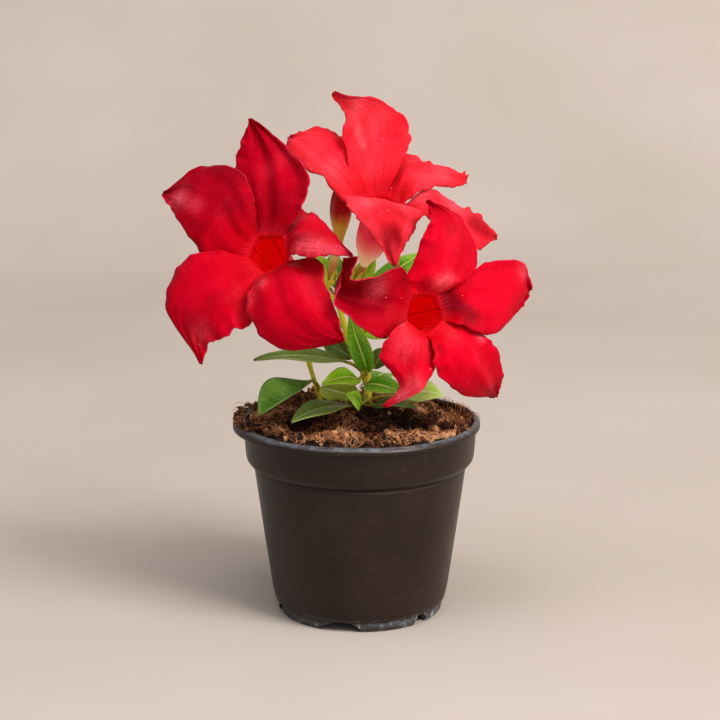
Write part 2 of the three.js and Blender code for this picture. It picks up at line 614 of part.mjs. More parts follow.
// ---- leaves: a folded, bowed blade on a short stalk each ----------------------------------------
// from: the joint that bears it. base and tip: the blade's ends. wide: half its width. bow: how far its
// middle rises. faces: where its upper side looks. fold: degrees that each half is raised.
const LEAVES = [
  {
    name: "leaf_left_upper",
    from: NODE_LOW,
    base: vec(-6.3, -4, 109.2),
    tip: vec(-43.6, -18, 112.9),
    wide: 7.5,
    bow: 2,
    faces: vec(0, -0.2, 1),
    fold: 8,
    colour: "old",
  },
  {
    name: "leaf_left_low",
    from: vec(-18, 7, 93),
    base: vec(-19.1, 2, 99.9),
    tip: vec(-40.5, -30, 92),
    wide: 9.2,
    bow: 0.6,
    faces: vec(0.84, -0.51, -0.21),
    fold: -45,
    colour: "green",
    fullest: 1.8,
  },
  {
    name: "leaf_left_soil",
    from: vec(3.2, -3.5, 91),
    base: vec(-1.7, -10, 91.3),
    tip: vec(-28, -38, 91.6),
    wide: 7.2,
    bow: 2.5,
    faces: vec(0, -0.2, 1),
    fold: 8,
    colour: "old",
    fullest: 1.3,
  },
  {
    name: "leaf_middle_left",
    from: NODE_LOW,
    base: vec(-0.4, -6.5, 101.7),
    tip: vec(-15.4, -19, 103.1),
    wide: 5.6,
    bow: 1.8,
    faces: vec(0.05, -0.55, 0.85),
    fold: 10,
    colour: "fresh",
  },
  {
    name: "leaf_middle_front",
    from: NODE_LOW,
    base: vec(3, -5.5, 104.5),
    tip: vec(-4, -7, 130),
    wide: 4.8,
    bow: 2,
    faces: vec(-0.05, -1, 0.15),
    fold: 14,
    colour: "green",
  },
  {
    name: "leaf_middle_back",
    from: vec(-1, -1.4, 109.5),
    base: vec(-3.8, 3.5, 108.5),
    tip: vec(-16.2, 9, 114.5),
    wide: 5.5,
    bow: 1.5,
    faces: vec(0.1, -0.6, 0.8),
    fold: 10,
    colour: "old",
  },
  {
    name: "leaf_young_left",
    from: vec(3.2, -3, 92),
    base: vec(-1.3, 3, 91.8),
    tip: vec(-19.3, 11, 92.4),
    wide: 7,
    bow: 1.5,
    faces: vec(0, -0.7, 0.75),
    fold: 6,
    colour: "fresh",
  },
  {
    name: "leaf_young_front",
    from: vec(3.2, -3.4, 94),
    base: vec(0.4, -12, 92),
    tip: vec(-5.5, -20, 98.6),
    wide: 3.8,
    bow: 1,
    faces: vec(-0.3, -0.8, 0.6),
    fold: 10,
    colour: "fresh",
  },
  {
    name: "leaf_right_low",
    from: vec(2.6, -2.4, 98.4),
    base: vec(2, -9.8, 100),
    tip: vec(17.7, -25, 100.4),
    wide: 6,
    bow: 2,
    faces: vec(0.1, -0.6, 0.8),
    fold: 8,
    colour: "green",
  },
  {
    name: "leaf_right_far",
    from: vec(3.3, -3.6, 92),
    base: vec(14, -5, 94),
    tip: vec(34.6, -9, 95.6),
    wide: 7.5,
    bow: 2.5,
    faces: vec(0, -0.5, 0.87),
    fold: 8,
    colour: "fresh",
    fullest: 1.5,
  },
  {
    name: "leaf_right_soil",
    from: vec(3.3, -3.8, 91),
    base: vec(5, -11.4, 91.8),
    tip: vec(22.8, -20, 93.1),
    wide: 4,
    bow: 1.5,
    faces: vec(0, -0.3, 1),
    fold: 8,
    colour: "old",
  },
  {
    name: "leaf_right_back",
    from: NODE_LOW,
    base: vec(5.6, 1, 105),
    tip: vec(13, 8, 111.5),
    wide: 4.5,
    bow: 1.5,
    faces: vec(0, -0.5, 0.85),
    fold: 10,
    colour: "old",
  },
  {
    name: "leaf_fork_right",
    from: FORK,
    base: vec(-0.5, 5, 121),
    tip: vec(13, 9, 117),
    wide: 5,
    bow: 1.5,
    faces: vec(0, -0.7, 0.7),
    fold: 8,
    colour: "fresh",
  },
  {
    name: "leaf_top_right",
    from: NODE_HIGH,
    base: vec(-2, 14, 137),
    tip: vec(6.2, 17, 151.5),
    wide: 4.5,
    bow: 1,
    faces: vec(0, -1, 0.15),
    fold: 12,
    colour: "fresh",
  },
  {
    name: "leaf_top_far",
    from: NODE_HIGH,
    base: vec(3, 17, 134),
    tip: vec(28, 25, 151),
    wide: 6,
    bow: 1.5,
    faces: vec(0, -0.5, 0.9),
    fold: 8,
    colour: "green",
  },
  {
    name: "leaf_top_left",
    from: NODE_HIGH,
    base: vec(-14, 9, 139),
    tip: vec(-22, 16, 151.5),
    wide: 6,
    bow: 1,
    faces: vec(0.2, -0.8, 0.4),
    fold: 10,
    colour: "fresh",
  },
  {
    name: "leaf_top_back",
    from: NODE_HIGH,
    base: vec(-10, 14, 137),
    tip: vec(-11, 28, 150),
    wide: 5,
    bow: 1.5,
    faces: vec(0, -0.7, 0.6),
    fold: 10,
    colour: "green",
  },
  {
    name: "leaf_back_left",
    from: FORK,
    base: vec(-9, 5, 119),
    tip: vec(-31, 26, 125),
    wide: 7.5,
    bow: 3,
    faces: vec(0, -0.3, 1),
    fold: 8,
    colour: "green",
  },
  {
    name: "leaf_back_right",
    from: FORK,
    base: vec(-4, 12, 123),
    tip: vec(22, 31, 130),
    wide: 7.5,
    bow: 3,
    faces: vec(0, -0.3, 1),
    fold: 8,
    colour: "green",
  },
  {
    name: "leaf_back_low",
    from: vec(3.3, -3.6, 93),
    base: vec(5, 4, 94.5),
    tip: vec(12, 32, 95),
    wide: 7,
    bow: 3,
    faces: vec(0, -0.1, 1),
    fold: 8,
    colour: "green",
  },
];
const LEAF_ROWS = 5;
const LEAF_COLUMNS = 4;
const clearance = joined([...mainStems(SEAT), ...leftStems(SEAT)]);

function leaf({ from, base, tip, wide, bow, faces, fold, fullest = 0.85 }) {
  const along = tip.clone().sub(base);
  const side = faces.clone().cross(along).normalize();
  const up = along.clone().cross(side).normalize();
  const body = blade(
    LEAF_ROWS,
    LEAF_COLUMNS,
    (r, c) => {
      const s = r / LEAF_ROWS;
      const across = (2 * c) / LEAF_COLUMNS - 1;
      const half = wide * Math.sin(Math.PI * s ** fullest) ** 0.8 * (1 - 0.25 * s) + 0.5;
      const raise = Math.abs(across) * half * Math.tan(rad(fold)) + 0.25 * Math.sin(7 * s + 2 * across);
      return base
        .clone()
        .addScaledVector(along, s)
        .addScaledVector(side, across * half)
        .addScaledVector(up, bow * 4 * s * (1 - s) + raise);
    },
    LEAF,
  );
  const first = base.clone().addScaledVector(along, 0.06).addScaledVector(up, bow * 0.23);
  const middle = from.clone().lerp(base, 0.6).addScaledVector(up, 0.8);
  return largest(body.add(stalk([from, middle, first], [0.75, 0.7, 0.6], 0, 5, 2)).subtract(clearance));
}
for (const each of LEAVES) add(each.name, leaf(each), COLOURS[each.colour], 0.5);

// ---- the part's frame: the origin is the middle of the bottom of the whole object's box ---------
const box = new THREE.Box3().setFromObject(plant);
plant.position.set(-(box.min.x + box.max.x) / 2, -(box.min.y + box.max.y) / 2, -box.min.z);

export default plant;
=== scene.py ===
# A young mandevilla with red flowers in a black nursery pot, on a pale studio floor.
# Every piece is laid out in millimetres from the pot's own axis and foot: X to the right, Y away, Z up.
import math
import random

import bmesh
import bpy
from mathutils import Matrix, Vector, noise


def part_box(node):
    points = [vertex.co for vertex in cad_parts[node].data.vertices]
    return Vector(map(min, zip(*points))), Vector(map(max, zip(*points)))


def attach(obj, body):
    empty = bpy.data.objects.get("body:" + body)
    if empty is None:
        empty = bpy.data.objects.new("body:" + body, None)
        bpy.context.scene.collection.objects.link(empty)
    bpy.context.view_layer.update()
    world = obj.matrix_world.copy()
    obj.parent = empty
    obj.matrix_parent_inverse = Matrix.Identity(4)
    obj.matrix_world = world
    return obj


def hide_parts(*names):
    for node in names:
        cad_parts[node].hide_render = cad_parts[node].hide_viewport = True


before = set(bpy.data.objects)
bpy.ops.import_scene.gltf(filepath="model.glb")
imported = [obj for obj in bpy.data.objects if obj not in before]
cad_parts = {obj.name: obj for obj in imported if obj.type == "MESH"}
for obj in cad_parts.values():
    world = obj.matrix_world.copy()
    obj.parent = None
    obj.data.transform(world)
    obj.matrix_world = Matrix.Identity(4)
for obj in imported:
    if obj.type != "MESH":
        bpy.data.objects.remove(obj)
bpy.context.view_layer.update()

bpy.ops.object.select_all(action="DESELECT")

# ---- the pot ------------------------------------------------------------------------------------
# A thin nursery pot of black polypropylene, injection moulded in one shot: a rolled lip, a collar that
# nested pots rest on, a tapered wall and a foot ring with six arched notches that let water out.
POT_LOW, POT_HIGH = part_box("pot")
LIP_SHIFT = 1.5
AXIS = Vector(((POT_LOW.x + POT_HIGH.x) / 2 + LIP_SHIFT / 1000, (POT_LOW.y + POT_HIGH.y) / 2, 0))
POT_SIDES = 144
POT_OUTLINE = [
    (31.8, 4.6), (32.1, 0.3), (32.6, 0), (34.2, 0), (35.0, 0.5), (35.4, 1.7), (35.3, 3.0), (35.0, 4.0),
    (35.9, 4.5), (36.7, 5.6), (37.3, 8), (37.9, 11), (41.6, 37), (45.05, 62.6), (44.9, 63.2), (44.9, 63.7),
    (45.6, 64.3), (47.0, 65.4), (48.2, 67), (48.6, 68.8), (49.0, 74), (49.3, 79.6), (49.9, 80.3),
    (51.7, 80.1), (52.5, 80.6), (52.5, 82.1), (51.5, 83.2), (50.0, 83.5), (48.7, 82.9), (48.2, 80.1),
    (47.4, 68.8), (44.2, 64), (36.7, 11), (35.5, 7), (33.7, 5.8),
]  # radius and height, from the underside of the floor out over the lip and down the inside
LIP_LOW = 80.0
LIP_INNER = 49.7
LIP_WAVES = [(0.22, 3, 1), (0.12, 7, 0)]  # height, how many go round, and where they start
DRAIN_RING = 34.5
DRAIN_DEPTH = 9
DRAIN_TURN = -103
DRAIN_WIDTHS = (17, 8)
DRAIN_HIGH = 4.1


def mm(x, y, z):
    return Vector((AXIS.x + x / 1000, AXIS.y + y / 1000, z / 1000))


first_radius, first_height = POT_OUTLINE[0]
at_foot = mm(0, 0, first_height)
bpy.ops.mesh.primitive_circle_add(vertices=POT_SIDES, radius=first_radius / 1000, location=at_foot)
pot = bpy.context.object
pot.name = "pot_shell"
bpy.ops.object.mode_set(mode="EDIT")
bpy.ops.mesh.edge_face_add()
bpy.ops.mesh.select_all(action="DESELECT")
bpy.ops.mesh.select_mode(type="EDGE")
bpy.ops.mesh.select_non_manifold()
for (r0, z0), (r1, z1) in zip(POT_OUTLINE, POT_OUTLINE[1:]):
    bpy.ops.mesh.extrude_edges_move(TRANSFORM_OT_translate={"value": (0, 0, (z1 - z0) / 1000)})
    bpy.ops.transform.resize(value=(r1 / r0, r1 / r0, 1))
bpy.ops.mesh.edge_face_add()
bpy.ops.mesh.select_all(action="SELECT")
bpy.ops.mesh.normals_make_consistent(inside=False)
bpy.ops.object.mode_set(mode="OBJECT")
bpy.ops.object.transform_apply(location=True, rotation=True, scale=True)

# The soft lip is pushed out to the left and is not quite even.
for vertex in pot.data.vertices:
    across = vertex.co - AXIS
    if vertex.co.z > LIP_LOW / 1000 and math.hypot(across.x, across.y) > LIP_INNER / 1000:
        vertex.co.x -= LIP_SHIFT / 1000
        turn = math.atan2(across.y, across.x)
        vertex.co.z += sum(tall / 1000 * math.sin(count * turn + start) for tall, count, start in LIP_WAVES)

rounding = pot.modifiers.new("rounding", "BEVEL")
rounding.width = 0.0005
rounding.segments = 3
rounding.limit_method = "ANGLE"
rounding.angle_limit = math.radians(14)
bpy.ops.object.modifier_apply(modifier="rounding")

for i in range(6):
    width = DRAIN_WIDTHS[i % 2]
    turn = math.radians(DRAIN_TURN + 60 * i)
    bpy.ops.mesh.primitive_cylinder_add(
        vertices=40,
        radius=width / 2000,
        depth=DRAIN_DEPTH / 1000,
        location=mm(DRAIN_RING * math.cos(turn), DRAIN_RING * math.sin(turn), 0),
        rotation=(0, math.pi / 2, turn),
    )
    cutter = bpy.context.object
    bpy.ops.object.transform_apply(location=True, rotation=True, scale=True)
    for vertex in cutter.data.vertices:
        vertex.co.z *= 2 * DRAIN_HIGH / width
    cut = pot.modifiers.new("notch", "BOOLEAN")
    cut.operation = "DIFFERENCE"
    cut.object = cutter
    bpy.context.view_layer.objects.active = pot
    bpy.ops.object.modifier_apply(modifier="notch")
    bpy.data.objects.remove(cutter)
bpy.ops.object.select_all(action="DESELECT")
pot.select_set(True)
bpy.context.view_layer.objects.active = pot
bpy.ops.object.shade_smooth_by_angle(angle=math.radians(32))


def linear(hex_code):
    parts = [int(hex_code[i : i + 2], 16) / 255 for i in (1, 3, 5)]
    return (*(c / 12.92 if c <= 0.04045 else ((c + 0.055) / 1.055) ** 2.4 for c in parts), 1)


def add(tree, kind, inputs=None, stops=None, **settings):
    """One shader node with its settings, its inputs and the stops of a ramp. An input takes a value, a hex
    colour, the output of another node, or another node itself, which stands for its first output."""
    made = tree.nodes.new("ShaderNode" + kind)
    for name, value in settings.items():
        setattr(made, name, value)
    for name, value in (inputs or {}).items():
        if isinstance(value, bpy.types.Node):
            value = next(output for output in value.outputs if output.enabled)
        if isinstance(value, bpy.types.NodeSocket):
            tree.links.new(value, made.inputs[name])
        else:
            made.inputs[name].default_value = linear(value) if isinstance(value, str) else value
    if stops:
        ramp = made.color_ramp.elements
        while len(ramp) < len(stops):
            ramp.new(0.5)
        for element, (place, shade) in zip(ramp, stops):
            element.position = place
            element.color = linear(shade)
    return made


def empty_material(name):
    material = bpy.data.materials.new(name)
    material.use_nodes = True
    material.node_tree.nodes.clear()
    return material, material.node_tree


# Black polypropylene, satin from the mould, filmed with dried soil dust: brown-black, its warm brown partly
# a painted reflection of warm surroundings, with pale specks about half a millimetre across, a lip paler
# along its crest, partly scuffs and partly a painted highlight, and lime flecks along the foot.
polypropylene, tree = empty_material("black_polypropylene")
place = add(tree, "TexCoord").outputs["Object"]
film = add(tree, "TexNoise", {"Vector": place, "Scale": 38, "Detail": 5, "Roughness": 0.6})
# the warm brown of the film is partly a painted reflection of warm surroundings
film_stops = [(0.3, "#1A0B03"), (0.5, "#211108"), (0.72, "#2A190F")]
colour = add(tree, "ValToRGB", {"Fac": film}, stops=film_stops)
lying = add(tree, "Mapping", {"Vector": place, "Scale": (0.7, 0.7, 1.5)})
specks = add(tree, "TexVoronoi", {"Vector": lying, "Scale": 940})
chance = add(tree, "SeparateColor", {"Color": specks.outputs["Color"]})
speck_size = add(tree, "MapRange", {"Value": chance, "From Min": 0.58, "To Max": 0.19})
speck = add(tree, "Math", {0: specks, 1: speck_size}, operation="LESS_THAN")
height = add(tree, "SeparateXYZ", {"Vector": place}).outputs["Z"]
# the crest of the lip is paler grey: partly scuffs, partly a painted highlight along it
lip = add(tree, "MapRange", {"Value": height, "From Min": 0.082, "From Max": 0.0832})
foot = add(tree, "MapRange", {"Value": height, "From Min": 0.006, "From Max": 0.002, "To Max": 0.6})
edges = add(tree, "Math", {0: lip, 1: foot}, operation="MAXIMUM")
wear = add(tree, "TexNoise", {"Vector": place, "Scale": 260, "Detail": 6, "Roughness": 0.7})
worn_range = {"From Min": 0.42, "From Max": 0.68, "To Min": 0.2, "To Max": 0.9}
worn = add(tree, "MapRange", {"Value": wear, **worn_range})
lime = add(tree, "MapRange", {"Value": wear, "From Min": 0.56, "From Max": 0.62})
pot_layers = [
    (edges, worn, "#727A86"),
    (lime, foot, "#B0B0B0"),
    (speck, chance.outputs["Green"], "#746C66"),
]  # two masks that are multiplied, and the colour that they let through: scuffs with a painted highlight along the lip's crest, lime and specks
for mask, second, shade in pot_layers:
    share = add(tree, "Math", {0: mask, 1: second}, operation="MULTIPLY")
    colour = add(tree, "Mix", {"Factor": share, "A": colour, "B": shade}, data_type="RGBA")
shine_range = {"From Min": 0.3, "From Max": 0.7, "To Min": 0.3, "To Max": 0.44}
shine = add(tree, "MapRange", {"Value": film, **shine_range})
grain = add(tree, "TexNoise", {"Vector": place, "Scale": 900, "Detail": 3})
relief = add(tree, "Bump", {"Height": grain, "Strength": 0.18, "Distance": 0.0003})
surface = {"Base Color": colour, "Roughness": shine, "IOR": 1.49, "Normal": relief}
add(tree, "OutputMaterial", {"Surface": add(tree, "BsdfPrincipled", surface)})

pot.data.materials.append(polypropylene)
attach(pot, "root")
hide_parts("pot")

# ---- the flowers --------------------------------------------------------------------------------
# Each corolla grew as one tissue, half a millimetre thick: a funnel whose rim opens into five lobes
# that twist the same way, so that each lies with one edge over its neighbour.
PETAL = 0.5
RIM = 8.1
RIM_DEPTH = 2.6
FUNNEL_LENGTH = 34
FLUTE_DEPTH = 0.05
FLUTES = [(1, 5, 0.7), (0.35, 15, 0)]  # strength, how many go round, and where they start
MOUTH_CORNER = 0.6
FOLDS = [(2.3, 0, 1.5, 0.8), (0.9, 5, 3.4, 2.2), (0.16, 9, 16, 2.5)]  # height, seed, fineness both ways
RUFFLES = [(1.9, 7, 9), (1.0, 8, 20)]  # height of the waves along an edge, seed and fineness
RAGS = [(1.1, 3, 11), (0.45, 4, 21)]  # depth of the bites out of an edge, seed and fineness
TUCK_OUT = 3
TUCK_BACK = 1.3  # how far the edge that lies under a neighbour is drawn out and back
FUNNEL = [
    (0, 1.7), (1.5, 2.0), (3, 2.5), (5, 3.4), (7, 4.3), (9.5, 5.2), (12, 5.8), (16, 6.3), (20, 6.6),
    (25, 6.9), (28, 7.2), (30, 7.6), (31.4, RIM),
]
LOBE_ROWS = 54
LOBE_COLUMNS = 28
FLOWERS = {
    "left": ((-37.3, -38, 161.8), (-0.25, -0.82, 0.52)),
    "top": ((10.2, -12, 177), (0.25, -0.5, 0.83)),
    "right": ((27.1, -42, 137.5), (0.46, -0.85, 0.27)),
}  # the middle of each mouth, and the way it faces
# A lobe: the middle of its root in degrees, three points along its left edge, its tip, three points along
# its right edge, half the width of its tip, and how far its middle stands forward. A point is right, up and
# forward in the flower's own face.
LOBES = {
    "left": [
        (98, [(-15.5, 23.5, -3), (-20, 37, -1), (-18.5, 46.5, 1)], (-16, 56, 2),
         [(12.5, 17.5, 3), (13.5, 30.5, 3), (1.5, 44.5, 2)], 0.6, -2),
        (162, [(-22, -5.5, -2), (-34.5, 5, -1), (-44.5, 16.5, -1)], (-50, 24, -3),
         [(-6.5, 16.5, 3), (-14.5, 31.5, 3), (-33.5, 35.5, 0)], 0.6, 2),
        (232, [(-4.5, -28, -1), (-10.5, -36, -1), (-19, -39, -5)], (-22.5, -46, -10),
         [(-21.5, -2.5, 2.5), (-34.5, -8.5, 1), (-39.5, -24, -3)], 0.6, 2),
        (303, [(21, -5, 2), (30, -18, 2), (34.5, -27, -1)], (36, -34, -6),
         [(-3.5, -19, 3.5), (0, -31.5, 2), (12.5, -39.5, -4)], 0.6, 3),
        (15, [(9, 18, -5), (15, 19, -6), (24.5, 11, -3)], (37.5, -2.5, 5),
         [(14, -4, 7), (24, -7, 12), (32, -5, 11)], 0.6, 3),
    ],
    "top": [
        (88, [(-6.5, 17, 2), (-11, 27.5, 13), (-10.5, 32.5, 22)], (-17.5, 34.5, 30),
         [(14.5, 18.5, 9), (20, 28, 14), (11, 34, 22)], 0.6, -3),
        (148, [(-15, 10, -1), (-26.5, 22, 1), (-31.5, 34, 3)], (-28, 41, 3),
         [(-5, 23, 4), (-9, 34, 8), (-17.5, 41.5, 6)], 0.8, 3),
        (262, [(10.5, -9.5, 3), (5.5, -18, 1), (-1, -24.5, -2)], (-7, -31, -5),
         [(-18, 3.5, 4), (-18.5, -9.5, 4), (-12, -20, 0)], 0.6, 4),
        (30, [(17.5, 21.5, 6), (25.5, 14, 8), (39, 10, 6)], (41, 7.5, 4),
         [(14, 2, 2), (24, 3.5, 4), (36, 4, 3)], 2.4, 2),
        (335, [(21.5, 3.5, 2), (32.5, -5.5, 1), (41.5, -11, -2)], (48, -16.5, -9),
         [(14, -7, 0), (21, -18, -4), (33.5, -23.5, -8)], 0.6, 2),
    ],
    "right": [
        (80, [(-4.5, 12.5, -2), (0, 26.5, -1), (6, 36.5, 0)], (6.5, 44.5, 0),
         [(15, 10, 3), (25.5, 18, 1), (22.5, 36.5, -2)], 0.6, 3),
        (8, [(18.5, 12, -2), (30, 17.5, -2), (50.5, 15.5, -5)], (52.5, 4, -6),
         [(15, -7.5, 3), (27, -12, 1), (43, -4.5, -3)], 0.8, 3),
        (300, [(21, -10.5, 0), (30.5, -18, -2), (35, -29.5, -7)], (33.5, -37, -11),
         [(-1, -14, 3), (-1, -23.5, 2), (14, -34.5, -4)], 0.6, 3),
        (234, [(1, -12.5, -1), (-0.5, -22.5, -1), (-9, -31, 0)], (-24.5, -35, -1),
         [(-20, -6.5, 3), (-24.5, -15.5, 0), (-16.5, -27.5, -2)], 0.6, 3),
        (156, [(-21.6, -5.8, 3), (-42.5, 6.7, 4), (-38.5, 15.8, 3)], (-35.9, 23.9, 8),
         [(-10.6, 18.1, 4), (-25.7, 15.1, 8), (-37.2, 15.4, 9)], 5, -9),
    ],
}

# Painted light and shade on the petals, in patches of a lobe and over whole lobes: the pale patches are
# painted sheen where the velvet catches the light, the deeper ones are painted shade where a lobe lies in a
# fold or hollow, and whole lobes are deeper or brighter, partly in their own red and partly in painted shade
# (the deeper) and painted light (the brighter). They stay where they are under other lights. Each is its
# lobe, right and up in the flower's face, how wide, how pale, and how much deeper (or brighter).
LIGHT_AND_TINT_PATCHES = {
    "left": [
        (303, 10, -20, 60, 0, -0.5), (232, -25, -20, 60, 0, -0.15), (98, 0, 30, 60, 0, 0.5),
        (162, -30, 20, 60, 0, 0.48), (162, -41.2, 20.8, 4, 0.55, 0),
        (162, -33.2, 17.6, 3.5, 0.3, 0), (162, -16.4, 33.3, 7, 0, 0.35), (162, -27.4, 32.5, 6, 0, 0.3),
        (162, -17.8, 3.9, 9, 0, -0.9), (98, -15.2, 25, 7, 0, 0.15),
        (98, 2.6, 30.1, 5, 0, -0.2), (232, -32, -9.8, 7, 0, -0.4), (232, -34.9, -27.6, 4.5, 0, 0.5),
        (232, -22.3, -35.2, 4, 0.3, 0.2), (232, -13, -22.4, 6, 0, 0.2), (303, 1.9, -15.6, 2.5, 0.5, 0),
        (303, 12.2, -21.3, 10, 0, -0.45), (303, -2.2, -22.2, 3, 0.2, -0.3), (15, 16.5, 0.1, 4, 0.5, 0),
        (15, 23.5, -1.2, 4.5, 0.6, 0), (15, 30.4, -3, 4, 0.5, 0), (15, 12.1, 12.7, 4.5, 0, 0.35),
        (15, 7.1, 9.9, 3.5, 0, 0.5),
    ],
    "top": [
        (262, -9.8, 8.8, 4.5, 0.35, 0), (262, -11.5, -4.8, 4.5, 0.55, 0), (262, 4.4, -4.5, 4.5, 0.55, 0),
        (262, -5, -21.6, 5, 0, 1.1), (262, 1.3, -13, 3.5, 0, 0.6), (262, -4.3, -11.2, 4, 0, 0.4),
        (335, 16.6, 0, 4, 0.45, 0), (335, 26.7, -8.1, 4, 0.35, 0), (335, 35.8, -13.1, 5, 0, 0.7),
        (335, 42, -15.3, 3.5, 0, 0.5), (30, 8.9, 14, 4, 0, 0.6), (30, 22.6, 19.6, 4.5, 0.25, 0),
        (30, 27.5, 7.5, 4, 0.2, 0), (88, -5.6, 33.3, 3, 0.45, 0), (88, -3.6, 29.5, 1.4, 0.8, 0),
        (88, -1.6, 26.4, 1.3, 0.8, 0), (88, 0, 0, 12, 0, 0.4), (148, 0, 0, 12, 0, 0.4),
        (30, 0, 0, 12, 0, 0.4), (335, 0, 0, 12, 0, 0.4), (88, 15, 22.9, 4.5, 0, 0.35),
        (88, 14.7, 35.7, 5, 0, 0.25), (88, 2.3, 22.4, 6, 0, 0.15), (148, -5.7, 33.2, 3.5, 0, 0.5),
        (148, -8.5, 21.2, 3, 0, 0.4), (148, -17.9, 18.8, 5, 0.25, 0),
    ],
    "right": [
        (156, -20, 8, 60, 0, 0.45), (156, -20.6, 11.4, 3.5, 0.5, 0), (156, -24.6, 14.1, 3, 0.4, 0),
        (156, -9.7, 14.4, 3.5, 0, 0.5), (156, -35.1, 22.2, 4.5, 0, 0.6), (156, -30.8, 7.4, 10, 0, 0.45),
        (156, -15.9, 2.1, 6, 0, -0.1), (156, -18, 6, 5, 0, 0.3), (80, 0.3, 11.6, 3.5, 0, 0.6),
        (80, 6.6, 11, 3, 0.55, 0), (80, 10.4, 12.2, 2.5, 0.5, 0), (80, 5.5, 24.5, 7, 0, 0.1),
        (8, 11.5, 2.5, 5, 0, 1.1),
        (8, 17, -1.5, 4, 0, 0.5), (8, 11.8, 7.1, 4.5, 0, 0.6), (8, 50.1, 12.6, 3.5, 0.45, 0),
        (8, 36, 1.9, 7, 0, -0.2), (8, 18.1, -5.8, 4, 0.1, 0.4), (300, 1.8, -15.4, 3.5, 0, 0.4),
        (300, 30.7, -34.9, 4.5, 0, 0.5), (300, 14.4, -2.9, 4.5, 0, 0.5), (300, 22.2, -12.4, 2, 0.7, 0),
        (300, 8.7, -10.1, 3.5, 0.2, 0.1), (234, -14.5, -11, 6.5, 0.3, 0), (234, -10.4, -28, 4, 0.5, 0.4),
        (234, -16.5, -32.1, 3.5, 0.5, 0.6), (234, -1.1, -13.1, 3.5, 0, 0.25),
        (234, -12.6, -3.4, 3, 0.35, 0),
    ],
}


def along(points, share):
    """The point at that share of a smooth curve through the points, with no loop at a sharp bend."""
    place = share * (len(points) - 1)
    k = min(int(place), len(points) - 2)
    p1, p2 = points[k], points[k + 1]
    p0 = points[k - 1] if k else 2 * p1 - p2
    p3 = points[k + 2] if k + 2 < len(points) else 2 * p2 - p1
    d0, d1, d2 = (max((b - a).length, 1e-6) ** 0.5 for a, b in ((p0, p1), (p1, p2), (p2, p3)))
    m1 = ((p1 - p0) / d0 - (p2 - p0) / (d0 + d1) + (p2 - p1) / d1) * d1
    m2 = ((p2 - p1) / d1 - (p3 - p1) / (d1 + d2) + (p3 - p2) / d2) * d1
    s = place - k
    return (
        p1 * (2 * s**3 - 3 * s**2 + 1)
        + m1 * (s**3 - 2 * s**2 + s)
        + p2 * (3 * s**2 - 2 * s**3)
        + m2 * (s**3 - s**2)
    )


def sheet(name, grids):
    """One mesh from grids of rows of (point in mm, (u, v)), with what meets welded."""
    mesh = bpy.data.meshes.new(name)
    points, faces, corners = [], [], []
    for grid in grids:
        start, wide = len(points), len(grid[0])
        points += [mm(*point) for row in grid for point, uv in row]
        uvs = [uv for row in grid for point, uv in row]
        for r in range(len(grid) - 1):
            for c in range(wide - 1):
                quad = [r * wide + c, (r + 1) * wide + c, (r + 1) * wide + c + 1, r * wide + c + 1]
                faces.append([start + i for i in quad])
                corners += [uvs[i] for i in quad]
    mesh.from_pydata(points, [], faces)
    layer = mesh.uv_layers.new(name="surface")
    for loop, uv in zip(layer.data, corners):
        loop.uv = uv
    welded = bmesh.new()
    welded.from_mesh(mesh)
    bmesh.ops.remove_doubles(welded, verts=welded.verts, dist=2e-6)
    welded.to_mesh(mesh)
    welded.free()
    made = bpy.data.objects.new(name, mesh)
    bpy.context.scene.collection.objects.link(made)
    return made


def face_of(axis):
    forward = Vector(axis).normalized()
    right = Vector((0, 0, 1)).cross(forward).normalized()
    return right, forward.cross(right), forward


def thicken(made, thickness, rim_skin):
    """Gives a sheet its thickness, and its second skin to the back."""
    wall = made.modifiers.new("wall", "SOLIDIFY")
    wall.thickness = thickness / 1000
    wall.offset = -1
    wall.material_offset = 1
    wall.material_offset_rim = rim_skin
    bpy.context.view_layer.objects.active = made
    bpy.ops.object.modifier_apply(modifier="wall")


